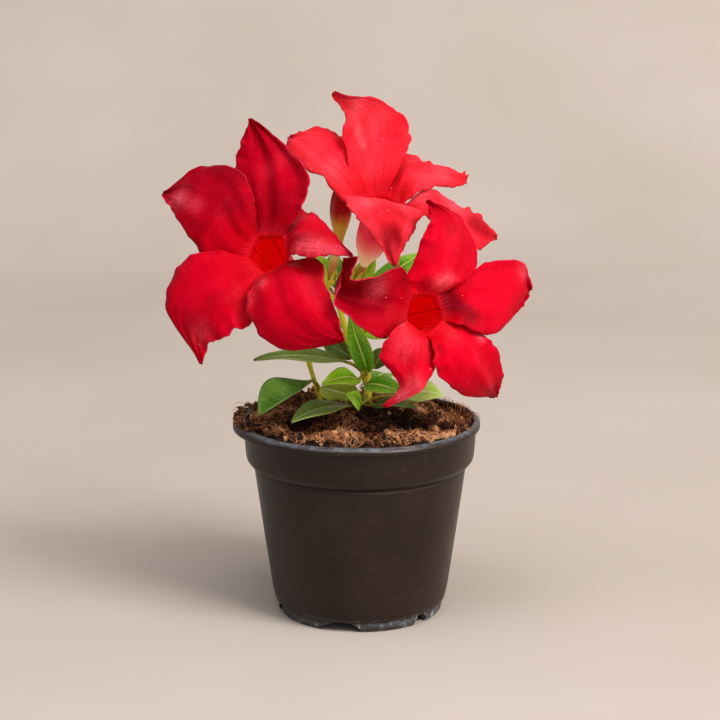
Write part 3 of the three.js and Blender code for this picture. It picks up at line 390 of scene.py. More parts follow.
def petals(name, front, back):
    mouth, axis = Vector(FLOWERS[name][0]), FLOWERS[name][1]
    right, up, forward = face_of(axis)
    roots = [shape[0] for shape in LOBES[name]]
    order = sorted(range(5), key=lambda i: roots[i])
    border = {}
    for i, low in enumerate(order):
        high = order[(i + 1) % 5]
        gap = (roots[high] - roots[low]) % 360
        border[low, "ccw"] = roots[low] + gap / 2
        border[high, "cw"] = roots[high] - gap / 2

    def at(u, v, w):
        return mouth + right * u + up * v + forward * w

    def ring(turn, radius, depth):
        return at(radius * math.cos(turn), radius * math.sin(turn), depth)

    def corner(w):
        """The mouth is a little five-cornered: it reaches furthest where two lobes part."""
        return MOUTH_CORNER * (2 * w * w - 1)

    def waves(sizes, w, t):
        return sum(tall * noise.noise(seed + Vector((w, start, fine * t))) for tall, start, fine in sizes)

    grids = []
    for index, (root, ccw, tip, cw, blunt, cup) in enumerate(LOBES[name]):
        low, high = math.radians(border[index, "cw"]), math.radians(border[index, "ccw"])
        turns = [low + (high - low) * c / LOBE_COLUMNS for c in range(LOBE_COLUMNS + 1)]
        tube = []
        for tall, radius in FUNNEL:
            row = []
            for c, t in enumerate(turns):
                grown = tall / (FUNNEL_LENGTH - RIM_DEPTH)
                flute = sum(share * math.sin(count * t + start) for share, count, start in FLUTES)
                flute *= FLUTE_DEPTH * radius * math.sin(math.pi * min(1, grown))
                wide = radius + flute + corner(2 * c / LOBE_COLUMNS - 1) * grown**3
                row.append((ring(t, wide, tall - FUNNEL_LENGTH), (index + c / LOBE_COLUMNS, grown - 1)))
            tube.append(row)
        grids.append(tube)

        spread = (at(*ccw[2]) - at(*cw[2])).normalized() * blunt
        edges = []
        for turn, points, side in ((low, cw, -1), (high, ccw, 1)):
            rim = ring(turn, RIM + corner(1), -RIM_DEPTH)
            through = [rim.lerp(at(*points[0]), -0.3), rim]
            through += [at(*p) for p in points] + [at(*tip) + spread * side]
            edges.append(through)
        seed = Vector((3 * index + 17 * len(name), 0, 0))
        limb = []
        for r in range(LOBE_ROWS + 1):
            t = r / LOBE_ROWS
            share = 0.2 + 0.8 * t
            near, far = along(edges[0], share), along(edges[1], share)
            row = []
            for c, turn in enumerate(turns):
                w = 2 * c / LOBE_COLUMNS - 1
                point = near.lerp(far, (w + 1) / 2)
                chord = ring(low, RIM + corner(1), 0).lerp(ring(high, RIM + corner(1), 0), (w + 1) / 2)
                point += (ring(turn, RIM + corner(w), 0) - chord) * max(0, 1 - 1.7 * t) ** 2
                point += forward * cup * (1 - w * w) * math.sin(math.pi * t) ** 2
                fold = 0
                for tall, start, fine_across, fine_along in FOLDS:
                    fold += tall * noise.noise(seed + Vector((start, fine_across * w, fine_along * t)))
                edge, grown = abs(w) ** 4, min(1, 4 * t)
                across = (far - near).normalized()
                under = max(0, 2 * w - 1) ** 2 * math.sin(math.pi * min(1, t / 0.45)) ** 2
                point += across * (TUCK_OUT * under) - forward * (TUCK_BACK * under)
                point += forward * (fold + waves(RUFFLES, w, t) * edge) * grown
                point += across * (waves(RAGS, w, t) * edge * w * grown * (1 - t**6))
                row.append((point, (index + c / LOBE_COLUMNS, t)))
            limb.append(row)
        grids.append(limb)
    made = sheet("petals_" + name, grids)
    # each point takes its painted sheen into red, and its painted shade or light, with the lobe's own deeper
    # or brighter red, into green
    light_and_tint = made.data.attributes.new("light_and_tint", "FLOAT_COLOR", "POINT")
    surface = made.data.uv_layers["surface"].data
    for polygon in made.data.polygons:
        middle = sum((Vector(surface[i].uv) for i in polygon.loop_indices), Vector((0, 0))) / 4
        root = LOBES[name][int(middle.x)][0]
        for i in polygon.vertices if middle.y > 0 else ():
            away = made.data.vertices[i].co * 1000 - mm(0, 0, 0) * 1000 - mouth
            pale = deep = 0
            for lobe, x, y, wide, paler, deeper in LIGHT_AND_TINT_PATCHES[name]:
                near = ((away.dot(right) - x) ** 2 + (away.dot(up) - y) ** 2) / wide**2
                pale += paler * math.exp(-near) * (lobe == root)
                deep += deeper * math.exp(-near) * (lobe == root)
            light_and_tint.data[i].color = (pale, deep, 0, 1)
    made.data.materials.append(front)
    made.data.materials.append(back)
    thicken(made, PETAL, 1)
    made.data.shade_smooth()
    return made


def petal_material(name, shades, bloom, back):
    """Living petal: velvet from its domed cells, fine veins that fan out from the throat, darker edges."""
    material, tree = empty_material(name)
    uv = add(tree, "TexCoord").outputs["UV"]
    place = add(tree, "TexCoord").outputs["Object"]
    parts = add(tree, "SeparateXYZ", {"Vector": uv})
    v = parts.outputs["Y"]
    # veins half a millimetre to a millimetre apart, drawn out along the lobe
    drawn = add(tree, "Mapping", {"Vector": uv, "Scale": (38, 2.2, 1)})
    veins = add(tree, "TexNoise", {"Vector": drawn, "Scale": 1, "Detail": 5, "Roughness": 0.7})
    thin = add(tree, "Mapping", {"Vector": uv, "Scale": (80, 1.6, 1)})
    hairs = add(tree, "TexNoise", {"Vector": thin, "Scale": 1, "Detail": 4, "Roughness": 0.66})
    # the velvet's cells are finer than a render can show, so they are drawn a millimetre apart
    velvet = add(tree, "TexNoise", {"Vector": place, "Scale": 900, "Detail": 3, "Roughness": 0.7})
    cloud = add(tree, "TexNoise", {"Vector": place, "Scale": 60, "Detail": 4})
    blend = add(tree, "Mix", {"Factor": 0.74, "A": veins, "B": cloud})
    red_stops = [(0.3, shades[0]), (0.5, shades[1]), (0.7, shades[2])]
    red = add(tree, "ValToRGB", {"Fac": blend}, stops=red_stops)
    # the margins of a lobe, and the end of it
    part = add(tree, "Math", {0: parts}, operation="FRACT")
    side = add(tree, "MapRange", {"Value": part, "To Min": -1, "To Max": 1})
    apart = add(tree, "Math", {0: side}, operation="ABSOLUTE")
    edge = add(tree, "MapRange", {"Value": apart, "From Min": 0.6, "From Max": 1, "To Max": 0.34})
    end = add(tree, "MapRange", {"Value": v, "From Min": 0.6, "From Max": 1, "To Max": 0.62})
    rim = add(tree, "Math", {0: edge, 1: end}, operation="MAXIMUM")
    out = add(tree, "MapRange", {"Value": v, "From Min": 0.15, "From Max": 0.6})
    uneven = add(tree, "MapRange", {"Value": cloud, "From Min": 0.35, "From Max": 0.6})
    # the throat, whose colour runs out into the lobes along the veins
    jagged = add(tree, "MapRange", {"Value": hairs, "To Min": -0.16, "To Max": 0.16})
    torn = add(tree, "Math", {0: v, 1: jagged}, operation="ADD")
    shaft = add(tree, "MapRange", {"Value": torn, "From Min": -1, "From Max": 0.45})
    if back:
        throat_stops = [(0.04, "#EBDDA0"), (0.17, "#EFC9A0"), (0.28, "#EE8474"), (0.42, "#E03850")]
        throat_stops.append((0.66, shades[2]))
    else:
        throat_stops = [(0, "#800600"), (0.6, "#A80A00"), (0.68, "#C00408")]
        throat_stops += [(0.72, shades[4]), (0.95, shades[1])]
    throat = add(tree, "ValToRGB", {"Fac": shaft}, stops=throat_stops)
    low = add(tree, "MapRange", {"Value": torn, "From Min": 0.42, "From Max": 0.14})
    # painted shade and light in folds and over whole lobes, partly their own red, and painted sheen where
    # the velvet shines
    light_and_tint = add(tree, "SeparateColor", {"Color": add(tree, "Attribute", attribute_name="light_and_tint")})
    sway_range = {"From Min": 0.3, "From Max": 0.7, "To Min": -0.16, "To Max": 0.16}
    sway = add(tree, "MapRange", {"Value": blend, **sway_range})
    deep = add(tree, "Math", {0: light_and_tint.outputs["Green"], 1: sway}, operation="SUBTRACT")
    darker = add(tree, "MapRange", {"Value": deep, "From Min": 0.1, "From Max": 1.0, "To Max": 0.92})
    lighter = add(tree, "MapRange", {"Value": deep, "From Min": -0.1, "From Max": -0.8})
    patch = add(tree, "TexNoise", {"Vector": place, "Scale": 40, "Detail": 3})
    patch = add(tree, "MapRange", {"Value": patch, "From Min": 0.55, "From Max": 0.72, "To Max": 0.12})
    painted_sheen = add(tree, "Math", {0: patch, 1: light_and_tint}, operation="ADD")
    streak = add(tree, "Mix", {"Factor": 0.5, "A": hairs, "B": velvet})
    streak = add(tree, "MapRange", {"Value": streak, "From Min": 0.4, "From Max": 0.6, "To Min": 0.25})
    spread = add(tree, "MapRange", {"Value": v, "From Min": 0.0, "From Max": 0.1, "To Max": 0.8})
    # a dark line of painted shade runs down the funnel's crease under the middle of each lobe, with fine
    # dark lines beside it
    dark = 0.0 if back else 0.7
    pleat = add(tree, "MapRange", {"Value": apart, "From Min": 0.07, "From Max": 0.02, "To Max": dark})
    line = add(tree, "MapRange", {"Value": hairs, "From Min": 0.5, "From Max": 0.38, "To Max": 0.5})
    inside = add(tree, "MapRange", {"Value": v, "From Min": 0.02, "From Max": -0.05})
    pleat, line = (add(tree, "Math", {0: mark, 1: inside}, operation="MULTIPLY") for mark in (pleat, line))
    # fine pale lines cross the fold where the throat opens
    low_side = add(tree, "MapRange", {"Value": v, "From Min": -0.1, "From Max": 0.0})
    high_side = add(tree, "MapRange", {"Value": v, "From Min": 0.13, "From Max": 0.03})
    lined = add(tree, "MapRange", {"Value": hairs, "From Min": 0.5, "From Max": 0.62, "To Max": 0.7})
    # painted glints on single cells of the velvet, a painted highlight on the cut edge, and a little dust on
    # it
    glint = add(tree, "MapRange", {"Value": velvet, "From Min": 0.5, "From Max": 0.75, "To Max": 0.12})
    edge_highlight = add(tree, "MapRange", {"Value": apart, "From Min": 0.96, "From Max": 0.99, "To Max": 0.55})
    dust = add(tree, "TexVoronoi", {"Vector": place, "Scale": 560})
    rare = add(tree, "SeparateColor", {"Color": dust.outputs["Color"]})
    few = add(tree, "MapRange", {"Value": rare.outputs["Green"], "From Min": 0.88, "To Max": 0.15})
    spot = add(tree, "Math", {0: dust, 1: few}, operation="LESS_THAN")
    layers = [
        ([rim, out, uneven], shades[3]),
        ([low], throat),
        ([darker], shades[3]),
        ([lighter], shades[2]),
        ([painted_sheen, streak, spread], "#F88C9C"),
        ([pleat], "#5A0000"),
        ([line], "#E46A60" if back else "#6A0000"),
        ([low_side, high_side, lined], "#EC4A66"),
        ([glint], "#FF3C58"),
        ([edge_highlight, out, uneven], "#E8506C"),
        ([spot, rare.outputs["Blue"]], "#F098A0"),
    ]  # the masks that are multiplied, and the colour that they let through, from the tissue upwards
    colour = red
    for masks, shade in layers:
        share = masks[0]
        for mask in masks[1:]:
            share = add(tree, "Math", {0: share, 1: mask}, operation="MULTIPLY")
        colour = add(tree, "Mix", {"Factor": share, "A": colour, "B": shade}, data_type="RGBA")
    body = add(tree, "Mix", {"Factor": 0.6, "A": veins, "B": hairs})
    body = add(tree, "Mix", {"Factor": 0.2, "A": body, "B": velvet})
    relief = add(tree, "Bump", {"Height": body, "Strength": 0.5, "Distance": 0.0005})
    # a painted glow: the throat gives off light for what shines through the funnel's thin wall, save at its
    # pleats and lines
    bright = 0.65 if back else 0.75
    glow = add(tree, "MapRange", {"Value": torn, "From Min": 0.03, "From Max": -0.1, "To Max": bright})
    for mark, loss in ((pleat, -1.0), (line, -1.2)):
        unlit = add(tree, "Math", {0: mark, 1: loss, 2: 1.0}, operation="MULTIPLY_ADD")
        glow = add(tree, "Math", {0: glow, 1: unlit}, operation="MULTIPLY")
    surface = {
        "Base Color": colour,
        "Roughness": 0.45,
        "IOR": 1.4,
        "Specular IOR Level": 0.35,
        "Specular Tint": "#FF5C70",
        "Sheen Weight": bloom,
        "Sheen Roughness": 0.22,
        "Sheen Tint": "#FF7C90",
        "Emission Color": throat if back else "#F00600",
        "Emission Strength": glow,
        "Normal": relief,
    }
    skin = add(tree, "BsdfPrincipled", surface)
    through = add(tree, "BsdfTranslucent", {"Color": colour})
    mixed = add(tree, "MixShader", {0: 0.3, 1: skin, 2: through})
    add(tree, "OutputMaterial", {"Surface": mixed})
    return material


# Fresh petals. The oldest flower is crimson, the next scarlet, and the youngest at the top still coral,
# partly for its youth and partly as painted light, for it faces up into the light.
PETAL_SHADES = {
    "left": ["#A8001E", "#C60228", "#DC0434", "#740016", "#BC0018"],
    "right": ["#9C001A", "#CE022A", "#E60636", "#740014", "#C40016"],
    "top": ["#D81830", "#EC3646", "#F85466", "#900418", "#B80010"],
}
PETAL_NAMES = {"left": "crimson_petal", "right": "scarlet_petal", "top": "coral_petal"}
PETAL_BLOOM = {"left": 0.35, "right": 0.4, "top": 0.8}
for name in FLOWERS:
    front = petal_material(PETAL_NAMES[name], PETAL_SHADES[name], PETAL_BLOOM[name], False)
    rear = petal_material(PETAL_NAMES[name] + "_back", PETAL_SHADES[name], PETAL_BLOOM[name], True)
    flower = petals(name, front, rear)
    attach(flower, "root")
    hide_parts("corolla_" + name)

# ---- the shoots, flower stalks and tubes --------------------------------------------------------
# Two soft green shoots that swell at each joint. Every flower has a stalk of its own that ends in five
# narrow sepals, which hold the foot of the flower's narrow yellow-green tube.
NODE_LOW = Vector((2.4, -2, 102.5))
FORK = Vector((-4.5, 0, 117))
NODE_HIGH = Vector((-9.5, 3, 134))
LEFT_NODE = Vector((-21.5, 4, 106))
LEFT_TOP = Vector((-26, 0, 128))
MAIN_SHOOT = [Vector((3.5, -4, 70)), Vector((3.4, -3.8, 84)), NODE_LOW, FORK, NODE_HIGH]
MAIN_RADII = [1.9, 1.8, 1.6, 1.4, 1.2]
LEFT_SHOOT = [Vector((-15, 9, 70)), Vector((-16.3, 8, 86)), LEFT_NODE, LEFT_TOP]
LEFT_RADII = [1.1, 1.1, 0.95, 0.85]
STALK_ROOTS = {"left": LEFT_TOP, "top": NODE_HIGH, "right": FORK}
BUD_BASE = Vector((-9, 5, 157.5))
BUD_TIP = Vector((-6.5, 6, 187))
BUD_CALYX = Vector((-13, 5, 141.5))
KNOBS = [(NODE_LOW, 0.75, 2), (FORK, 0.55, 1.8), (NODE_HIGH, 0.8, 1.8), (LEFT_NODE, 0.3, 1.6)]
CUP = [(-1.8, 1.2), (-1.4, 1.75), (-0.6, 2.15), (0.3, 2.45), (0.9, 2.4), (0.9, 1.7), (0.2, 1.5)]
CUP_SIDES = 20
SEPAL_LENGTH = 6.4
BUD_SEPAL_LENGTH = 5.6
SEPAL_ROWS = 10
SEPAL_COLUMNS = 6


def closed(grid):
    """The grid of a tube with both of its ends drawn to a point."""
    for end in (0, -1):
        middle = sum((point for point, uv in grid[end][:-1]), Vector()) / (len(grid[end]) - 1)
        cap = [(middle, uv) for point, uv in grid[end]]
        grid = [cap] + grid if end == 0 else grid + [cap]
    return grid


def stalk(points, radii, sides=16, steps=10, knobs=()):
    """A closed grid round a smooth curve through the points. u goes round and v along, in centimetres. A
    knob is where it swells, by how much, and how far that reaches."""
    count = (len(points) - 1) * steps
    centres = [along(points, k / count) for k in range(count + 1)]
    side = Vector((1, 0, 0))
    grid, travelled = [], 0
    for k, centre in enumerate(centres):
        ahead = (centres[min(k + 1, count)] - centres[max(k - 1, 0)]).normalized()
        side = (side - ahead * side.dot(ahead)).normalized()
        over = ahead.cross(side)
        place = k / count * (len(points) - 1)
        low = min(int(place), len(points) - 2)
        radius = radii[low] + (radii[low + 1] - radii[low]) * (place - low)
        for knob, size, reach in knobs:
            radius += size * math.exp(-(((centre - knob).length / reach) ** 2))
        travelled += (centre - centres[k - 1]).length if k else 0
        row = []
        for i in range(sides + 1):
            turn = 2 * math.pi * i / sides
            out = side * math.cos(turn) + over * math.sin(turn)
            rough = 1 + 0.05 * noise.noise((centre + out * 2) * 0.5)
            row.append((centre + out * radius * rough, (i / sides, travelled / 10)))
        grid.append(row)
    return closed(grid)


def calyx_of(foot, axis, root):
    """Where the sepals hold the tube's end, and the way that they face."""
    forward = Vector(axis).normalized()
    faces = (forward * 0.8 - (root - foot).normalized()).normalized()
    return foot - forward * 3 - faces * 6, faces


def sepal_grids(calyx, faces, length):
    right, up, forward = face_of(faces)
    cup = []
    for tall, radius in CUP:
        row = []
        for i in range(CUP_SIDES + 1):
            turn = 2 * math.pi * i / CUP_SIDES
            out = right * math.cos(turn) + up * math.sin(turn)
            row.append((calyx + forward * tall + out * radius, (i / CUP_SIDES, 0)))
        cup.append(row)
    grids = [cup]
    for i in range(5):
        turn = 2 * math.pi * (i + 0.5) / 5 + 0.4
        out = right * math.cos(turn) + up * math.sin(turn)
        over = forward.cross(out)
        for face in (1, -1):
            blade = []
            for r in range(SEPAL_ROWS + 1):
                t = r / SEPAL_ROWS
                half = 1.25 * (1 - t) ** 0.8 * (0.75 + 0.9 * t) + 0.05
                row = []
                for c in range(SEPAL_COLUMNS + 1):
                    w = (2 * c / SEPAL_COLUMNS - 1) * face
                    lean = 2.35 + 1.5 * t**2 - 0.5 * w * w * (1 - t)
                    thick = 0.22 * face * (1 - w * w)
                    point = calyx + forward * (length * t) + out * (lean + thick) + over * (w * half)
                    row.append((point, (c / SEPAL_COLUMNS, t)))
                blade.append(row)
            grids.append(blade)
    return grids


stems = {
    "main": [stalk(MAIN_SHOOT, MAIN_RADII, knobs=KNOBS)],
    "left": [stalk(LEFT_SHOOT, LEFT_RADII, knobs=KNOBS)],
}
tubes = {}
for name, (mouth, axis) in FLOWERS.items():
    forward = Vector(axis).normalized()
    foot = Vector(mouth) - forward * FUNNEL_LENGTH
    root = STALK_ROOTS[name]
    calyx, faces = calyx_of(foot, axis, root)
    shoot = stems["left" if name == "left" else "main"]
    shoot.append(stalk([root, calyx - faces * 5, calyx - faces * 1.5], [1.1, 1, 1.3], knobs=KNOBS))
    shoot += sepal_grids(calyx, faces, SEPAL_LENGTH)
    tube_run = [calyx + faces * 0.3, foot - forward * 3, foot + forward * 0.6]
    tubes[name] = stalk(tube_run, [1.5, 1.75, 1.75], steps=12)
bud_faces = (BUD_BASE - BUD_CALYX).normalized()
bud_run = [NODE_HIGH, BUD_CALYX - bud_faces * 5, BUD_CALYX - bud_faces]
stems["main"].append(stalk(bud_run, [1.1, 1, 1.3], knobs=KNOBS))
stems["main"] += sepal_grids(BUD_CALYX, bud_faces, BUD_SEPAL_LENGTH)
bud_rise = (BUD_TIP - BUD_BASE).normalized()
tube_run = [BUD_CALYX + bud_faces * 0.3, BUD_CALYX.lerp(BUD_BASE, 0.5), BUD_BASE + bud_rise * 0.5]
tubes["bud"] = stalk(tube_run, [1.5, 1.9, 1.75], steps=12)

# Young shoot: smooth, slightly waxy skin, yellow-green in streaks, with a brown-pink blush in patches.
shoot_skin, tree = empty_material("green_shoot_skin")
place = add(tree, "TexCoord").outputs["Object"]
uv = add(tree, "TexCoord").outputs["UV"]
drawn = add(tree, "Mapping", {"Vector": uv, "Scale": (14, 1.2, 1)})
streaks = add(tree, "TexNoise", {"Vector": drawn, "Scale": 1, "Detail": 4, "Roughness": 0.6})
blush = add(tree, "TexNoise", {"Vector": place, "Scale": 110, "Detail": 3})
shoot_stops = [(0.3, "#C4CC30"), (0.5, "#E0E044"), (0.7, "#F0EC70")]
green = add(tree, "ValToRGB", {"Fac": streaks}, stops=shoot_stops)
warm = add(tree, "MapRange", {"Value": blush, "From Min": 0.56, "From Max": 0.76, "To Max": 0.45})
tinted = add(tree, "Mix", {"Factor": warm, "A": green, "B": "#9A6234"}, data_type="RGBA")
relief = add(tree, "Bump", {"Height": streaks, "Strength": 0.4, "Distance": 0.0004})
surface = {"Base Color": tinted, "Roughness": 0.42, "IOR": 1.42, "Normal": relief}
surface.update({"Subsurface Weight": 0.15, "Subsurface Radius": (0.001, 0.001, 0.0004)})
add(tree, "OutputMaterial", {"Surface": add(tree, "BsdfPrincipled", surface)})

for name, grids in stems.items():
    shoot = sheet("shoot_" + name, grids)
    shoot.data.shade_smooth()
    shoot.data.materials.append(shoot_skin)
    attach(shoot, "root")
    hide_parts(name + "_shoot")

# The tube's skin: waxy, green at the sepals, tan along the middle and cream under the funnel.
tube_skin, tree = empty_material("waxy_tube_skin")
uv = add(tree, "TexCoord").outputs["UV"]
v = add(tree, "SeparateXYZ", {"Vector": uv}).outputs["Y"]
tube_stops = [(0, "#9FA548"), (0.35, "#C09A4C"), (0.7, "#CF9A58"), (1, "#E2C888")]
bands = add(tree, "ValToRGB", {"Fac": v}, stops=tube_stops)
drawn = add(tree, "Mapping", {"Vector": uv, "Scale": (12, 1.5, 1)})
streaks = add(tree, "TexNoise", {"Vector": drawn, "Scale": 1, "Detail": 4})
overlaid = {"data_type": "RGBA", "blend_type": "OVERLAY"}
lined = add(tree, "Mix", {"Factor": 0.3, "A": bands, "B": streaks.outputs["Color"]}, **overlaid)
relief = add(tree, "Bump", {"Height": streaks, "Strength": 0.3, "Distance": 0.0004})
surface = {"Base Color": lined, "Roughness": 0.4, "IOR": 1.42, "Normal": relief}
add(tree, "OutputMaterial", {"Surface": add(tree, "BsdfPrincipled", surface)})

for name, grid in tubes.items():
    tube = sheet("flower_tube_" + name, [grid])
    tube.data.shade_smooth()
    tube.data.materials.append(tube_skin)
    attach(tube, "root")
    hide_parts("tube_" + name)

# ---- the bud ------------------------------------------------------------------------------------
# A furled corolla: five lobes rolled round each other to a short hooked point, deep red above and
# olive where it meets its tube.
BUD_SHAPE = [
    (0, 1.75), (0.06, 2.0), (0.12, 2.4), (0.2, 3.0), (0.3, 3.75), (0.4, 4.3), (0.5, 4.6), (0.6, 4.65),
    (0.7, 4.3), (0.79, 3.5), (0.86, 2.6), (0.92, 1.7), (0.97, 0.9), (1, 0.25),
]
BUD_ROWS = 52
BUD_SIDES = 50
BUD_TWIST = 1.6
BUD_PLEAT = 0.13
BUD_HOOK = Vector((-1.6, 0, 0))
rows = []
reach = (BUD_TIP - BUD_BASE).length
knots = [Vector((radius, share, 0)) for share, radius in BUD_SHAPE]
for k in range(BUD_ROWS + 1):
    spot = along(knots, k / BUD_ROWS)
    radius, share = spot.x, spot.y
    centre = BUD_BASE + bud_rise * (reach * share) + BUD_HOOK * max(0, share - 0.8) ** 2 * 25
    row = []
    for i in range(BUD_SIDES + 1):
        turn = 2 * math.pi * i / BUD_SIDES
        pleat = (5 * (turn - BUD_TWIST * share)) % (2 * math.pi) / (2 * math.pi)
        fold = 1 + BUD_PLEAT * (pleat**0.7 - 0.5) * min(1, 4 * share)
        out = Vector((math.cos(turn), math.sin(turn), 0)) * radius * fold
        row.append((centre + out, (i / BUD_SIDES, share)))
    rows.append(row)
bud = sheet("furled_bud", [closed(rows)])
bud.data.shade_smooth()

# Furled petal: the deep red outside of the lobes, satin, with the tube's olive running up into it.
bud_skin, tree = empty_material("furled_petal")
uv = add(tree, "TexCoord").outputs["UV"]
v = add(tree, "SeparateXYZ", {"Vector": uv}).outputs["Y"]
drawn = add(tree, "Mapping", {"Vector": uv, "Scale": (26, 2.2, 1)})
streaks = add(tree, "TexNoise", {"Vector": drawn, "Scale": 1, "Detail": 5, "Roughness": 0.6})
ragged = add(tree, "MapRange", {"Value": streaks, "To Min": -0.14, "To Max": 0.14})
up = add(tree, "Math", {0: v, 1: ragged}, operation="ADD")
bud_stops = [(0.02, "#D0D45C"), (0.24, "#DCC850"), (0.35, "#D09040"), (0.45, "#B81018"), (0.9, "#A00412")]
bud_stops.append((1, "#500810"))
shade = add(tree, "ValToRGB", {"Fac": up}, stops=bud_stops)
relief = add(tree, "Bump", {"Height": streaks, "Strength": 0.5, "Distance": 0.0005})
surface = {"Base Color": shade, "Roughness": 0.45, "IOR": 1.4, "Normal": relief}
surface.update({"Sheen Weight": 0.25, "Sheen Tint": "#FFB9C4"})
add(tree, "OutputMaterial", {"Surface": add(tree, "BsdfPrincipled", surface)})
bud.data.materials.append(bud_skin)
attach(bud, "root")
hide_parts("bud")

# ---- the leaves ---------------------------------------------------------------------------------
# Smooth oval leaves on short stalks, in pairs up the shoots: folded a little along a pale midrib, with
# side veins that curve towards the tip. The youngest are the brightest, and the oldest have greyed.
LEAF = 0.6
LEAF_ROWS = 36
LEAF_COLUMNS = 20
LEAF_ROUNDING = 0.06
LEAF_WAVE = 0.45
LEAF_DROOP = 2.2
LEAF_SWAY = 0.35
LEAVES = [
    ("left_upper", NODE_LOW, (-6.3, -4, 109.2), (-43.6, -18, 112.9), 7.5, 2, (0, -0.2, 1), 8, "old"),
    ("left_low", (-18, 7, 93), (-19.1, 2, 99.9), (-40.5, -30, 92), 9.2, 0.6, (0.84, -0.51, -0.21), -45,
     "dusky"),
    ("left_soil", (3.2, -3.5, 91), (-1.7, -10, 91.3), (-28, -38, 91.6), 7.2, 2.5, (0, -0.2, 1), 8, "old"),
    ("middle_left", NODE_LOW, (-0.4, -6.5, 101.7), (-15.4, -19, 103.1), 5.6, 1.8, (0.05, -0.55, 0.85), 10,
     "fresh"),
    ("middle_front", NODE_LOW, (3, -5.5, 104.5), (-4, -7, 130), 4.8, 2, (-0.05, -1, 0.15), 14, "green"),
    ("middle_back", (-1, -1.4, 109.5), (-3.8, 3.5, 108.5), (-16.2, 9, 114.5), 5.5, 1.5, (0.1, -0.6, 0.8),
     10, "old"),
    ("young_left", (3.2, -3, 92), (-1.3, 3, 91.8), (-18.2, 20.5, 91), 6.8, 1.5, (0, -0.7, 0.75), 6,
     "young"),
    ("young_front", (3.2, -3.4, 94), (0.4, -12, 92), (-5.5, -20, 98.6), 3.8, 1, (-0.3, -0.8, 0.6), 10,
     "fresh"),
    ("right_low", (2.6, -2.4, 98.4), (2, -9.8, 100), (17.7, -25, 100.4), 6, 2, (0.1, -0.6, 0.8), 8,
     "green"),
    ("right_far", (3.3, -3.6, 92), (14, -5, 94), (34.6, -9, 95.6), 7.5, 2.5, (0, -0.5, 0.87), 8, "pale"),
    ("right_soil", (3.3, -3.8, 91), (5, -11.4, 91.8), (22.8, -20, 93.1), 4, 1.5, (0, -0.3, 1), 8, "old"),
    ("right_back", NODE_LOW, (5.6, 1, 105), (13, 8, 111.5), 4.5, 1.5, (0, -0.5, 0.85), 10, "old"),
    ("fork_right", FORK, (-0.5, 5, 121), (13, 9, 117), 5, 1.5, (0, -0.7, 0.7), 8, "fresh"),
    ("top_right", NODE_HIGH, (-2, 14, 137), (6.2, 17, 151.5), 4.5, 1, (0, -1, 0.15), 12, "fresh"),
    ("top_far", NODE_HIGH, (3, 17, 134), (28, 25, 151), 6, 1.5, (0, -0.5, 0.9), 8, "green"),
    ("top_left", NODE_HIGH, (-14, 9, 139), (-22, 16, 151.5), 6, 1, (0.2, -0.8, 0.4), 10, "fresh"),
    ("top_back", NODE_HIGH, (-10, 14, 137), (-11, 28, 150), 5, 1.5, (0, -0.7, 0.6), 10, "green"),
    ("back_left", FORK, (-9, 5, 119), (-31, 26, 125), 7.5, 3, (0, -0.3, 1), 8, "green"),
    ("back_right", FORK, (-4, 12, 123), (22, 31, 130), 7.5, 3, (0, -0.3, 1), 8, "green"),
    ("back_low", (3.3, -3.6, 93), (5, 4, 94.5), (12, 32, 95), 7, 3, (0, -0.1, 1), 8, "green"),
]  # name, joint, both ends of the blade, half its width, its bow, the way it faces, its fold, its age
FULLNESS = 0.85  # the higher it is, the nearer to its tip a leaf is widest
FULLEST = {"left_low": 1.8, "left_soil": 1.3, "right_far": 1.5}
STALK_RADII = [0.75, 0.7, 0.6, 0.3]
STALK_UV = (0.5, -0.2)  # below the blade's own v, where the material turns to the colour of a stalk


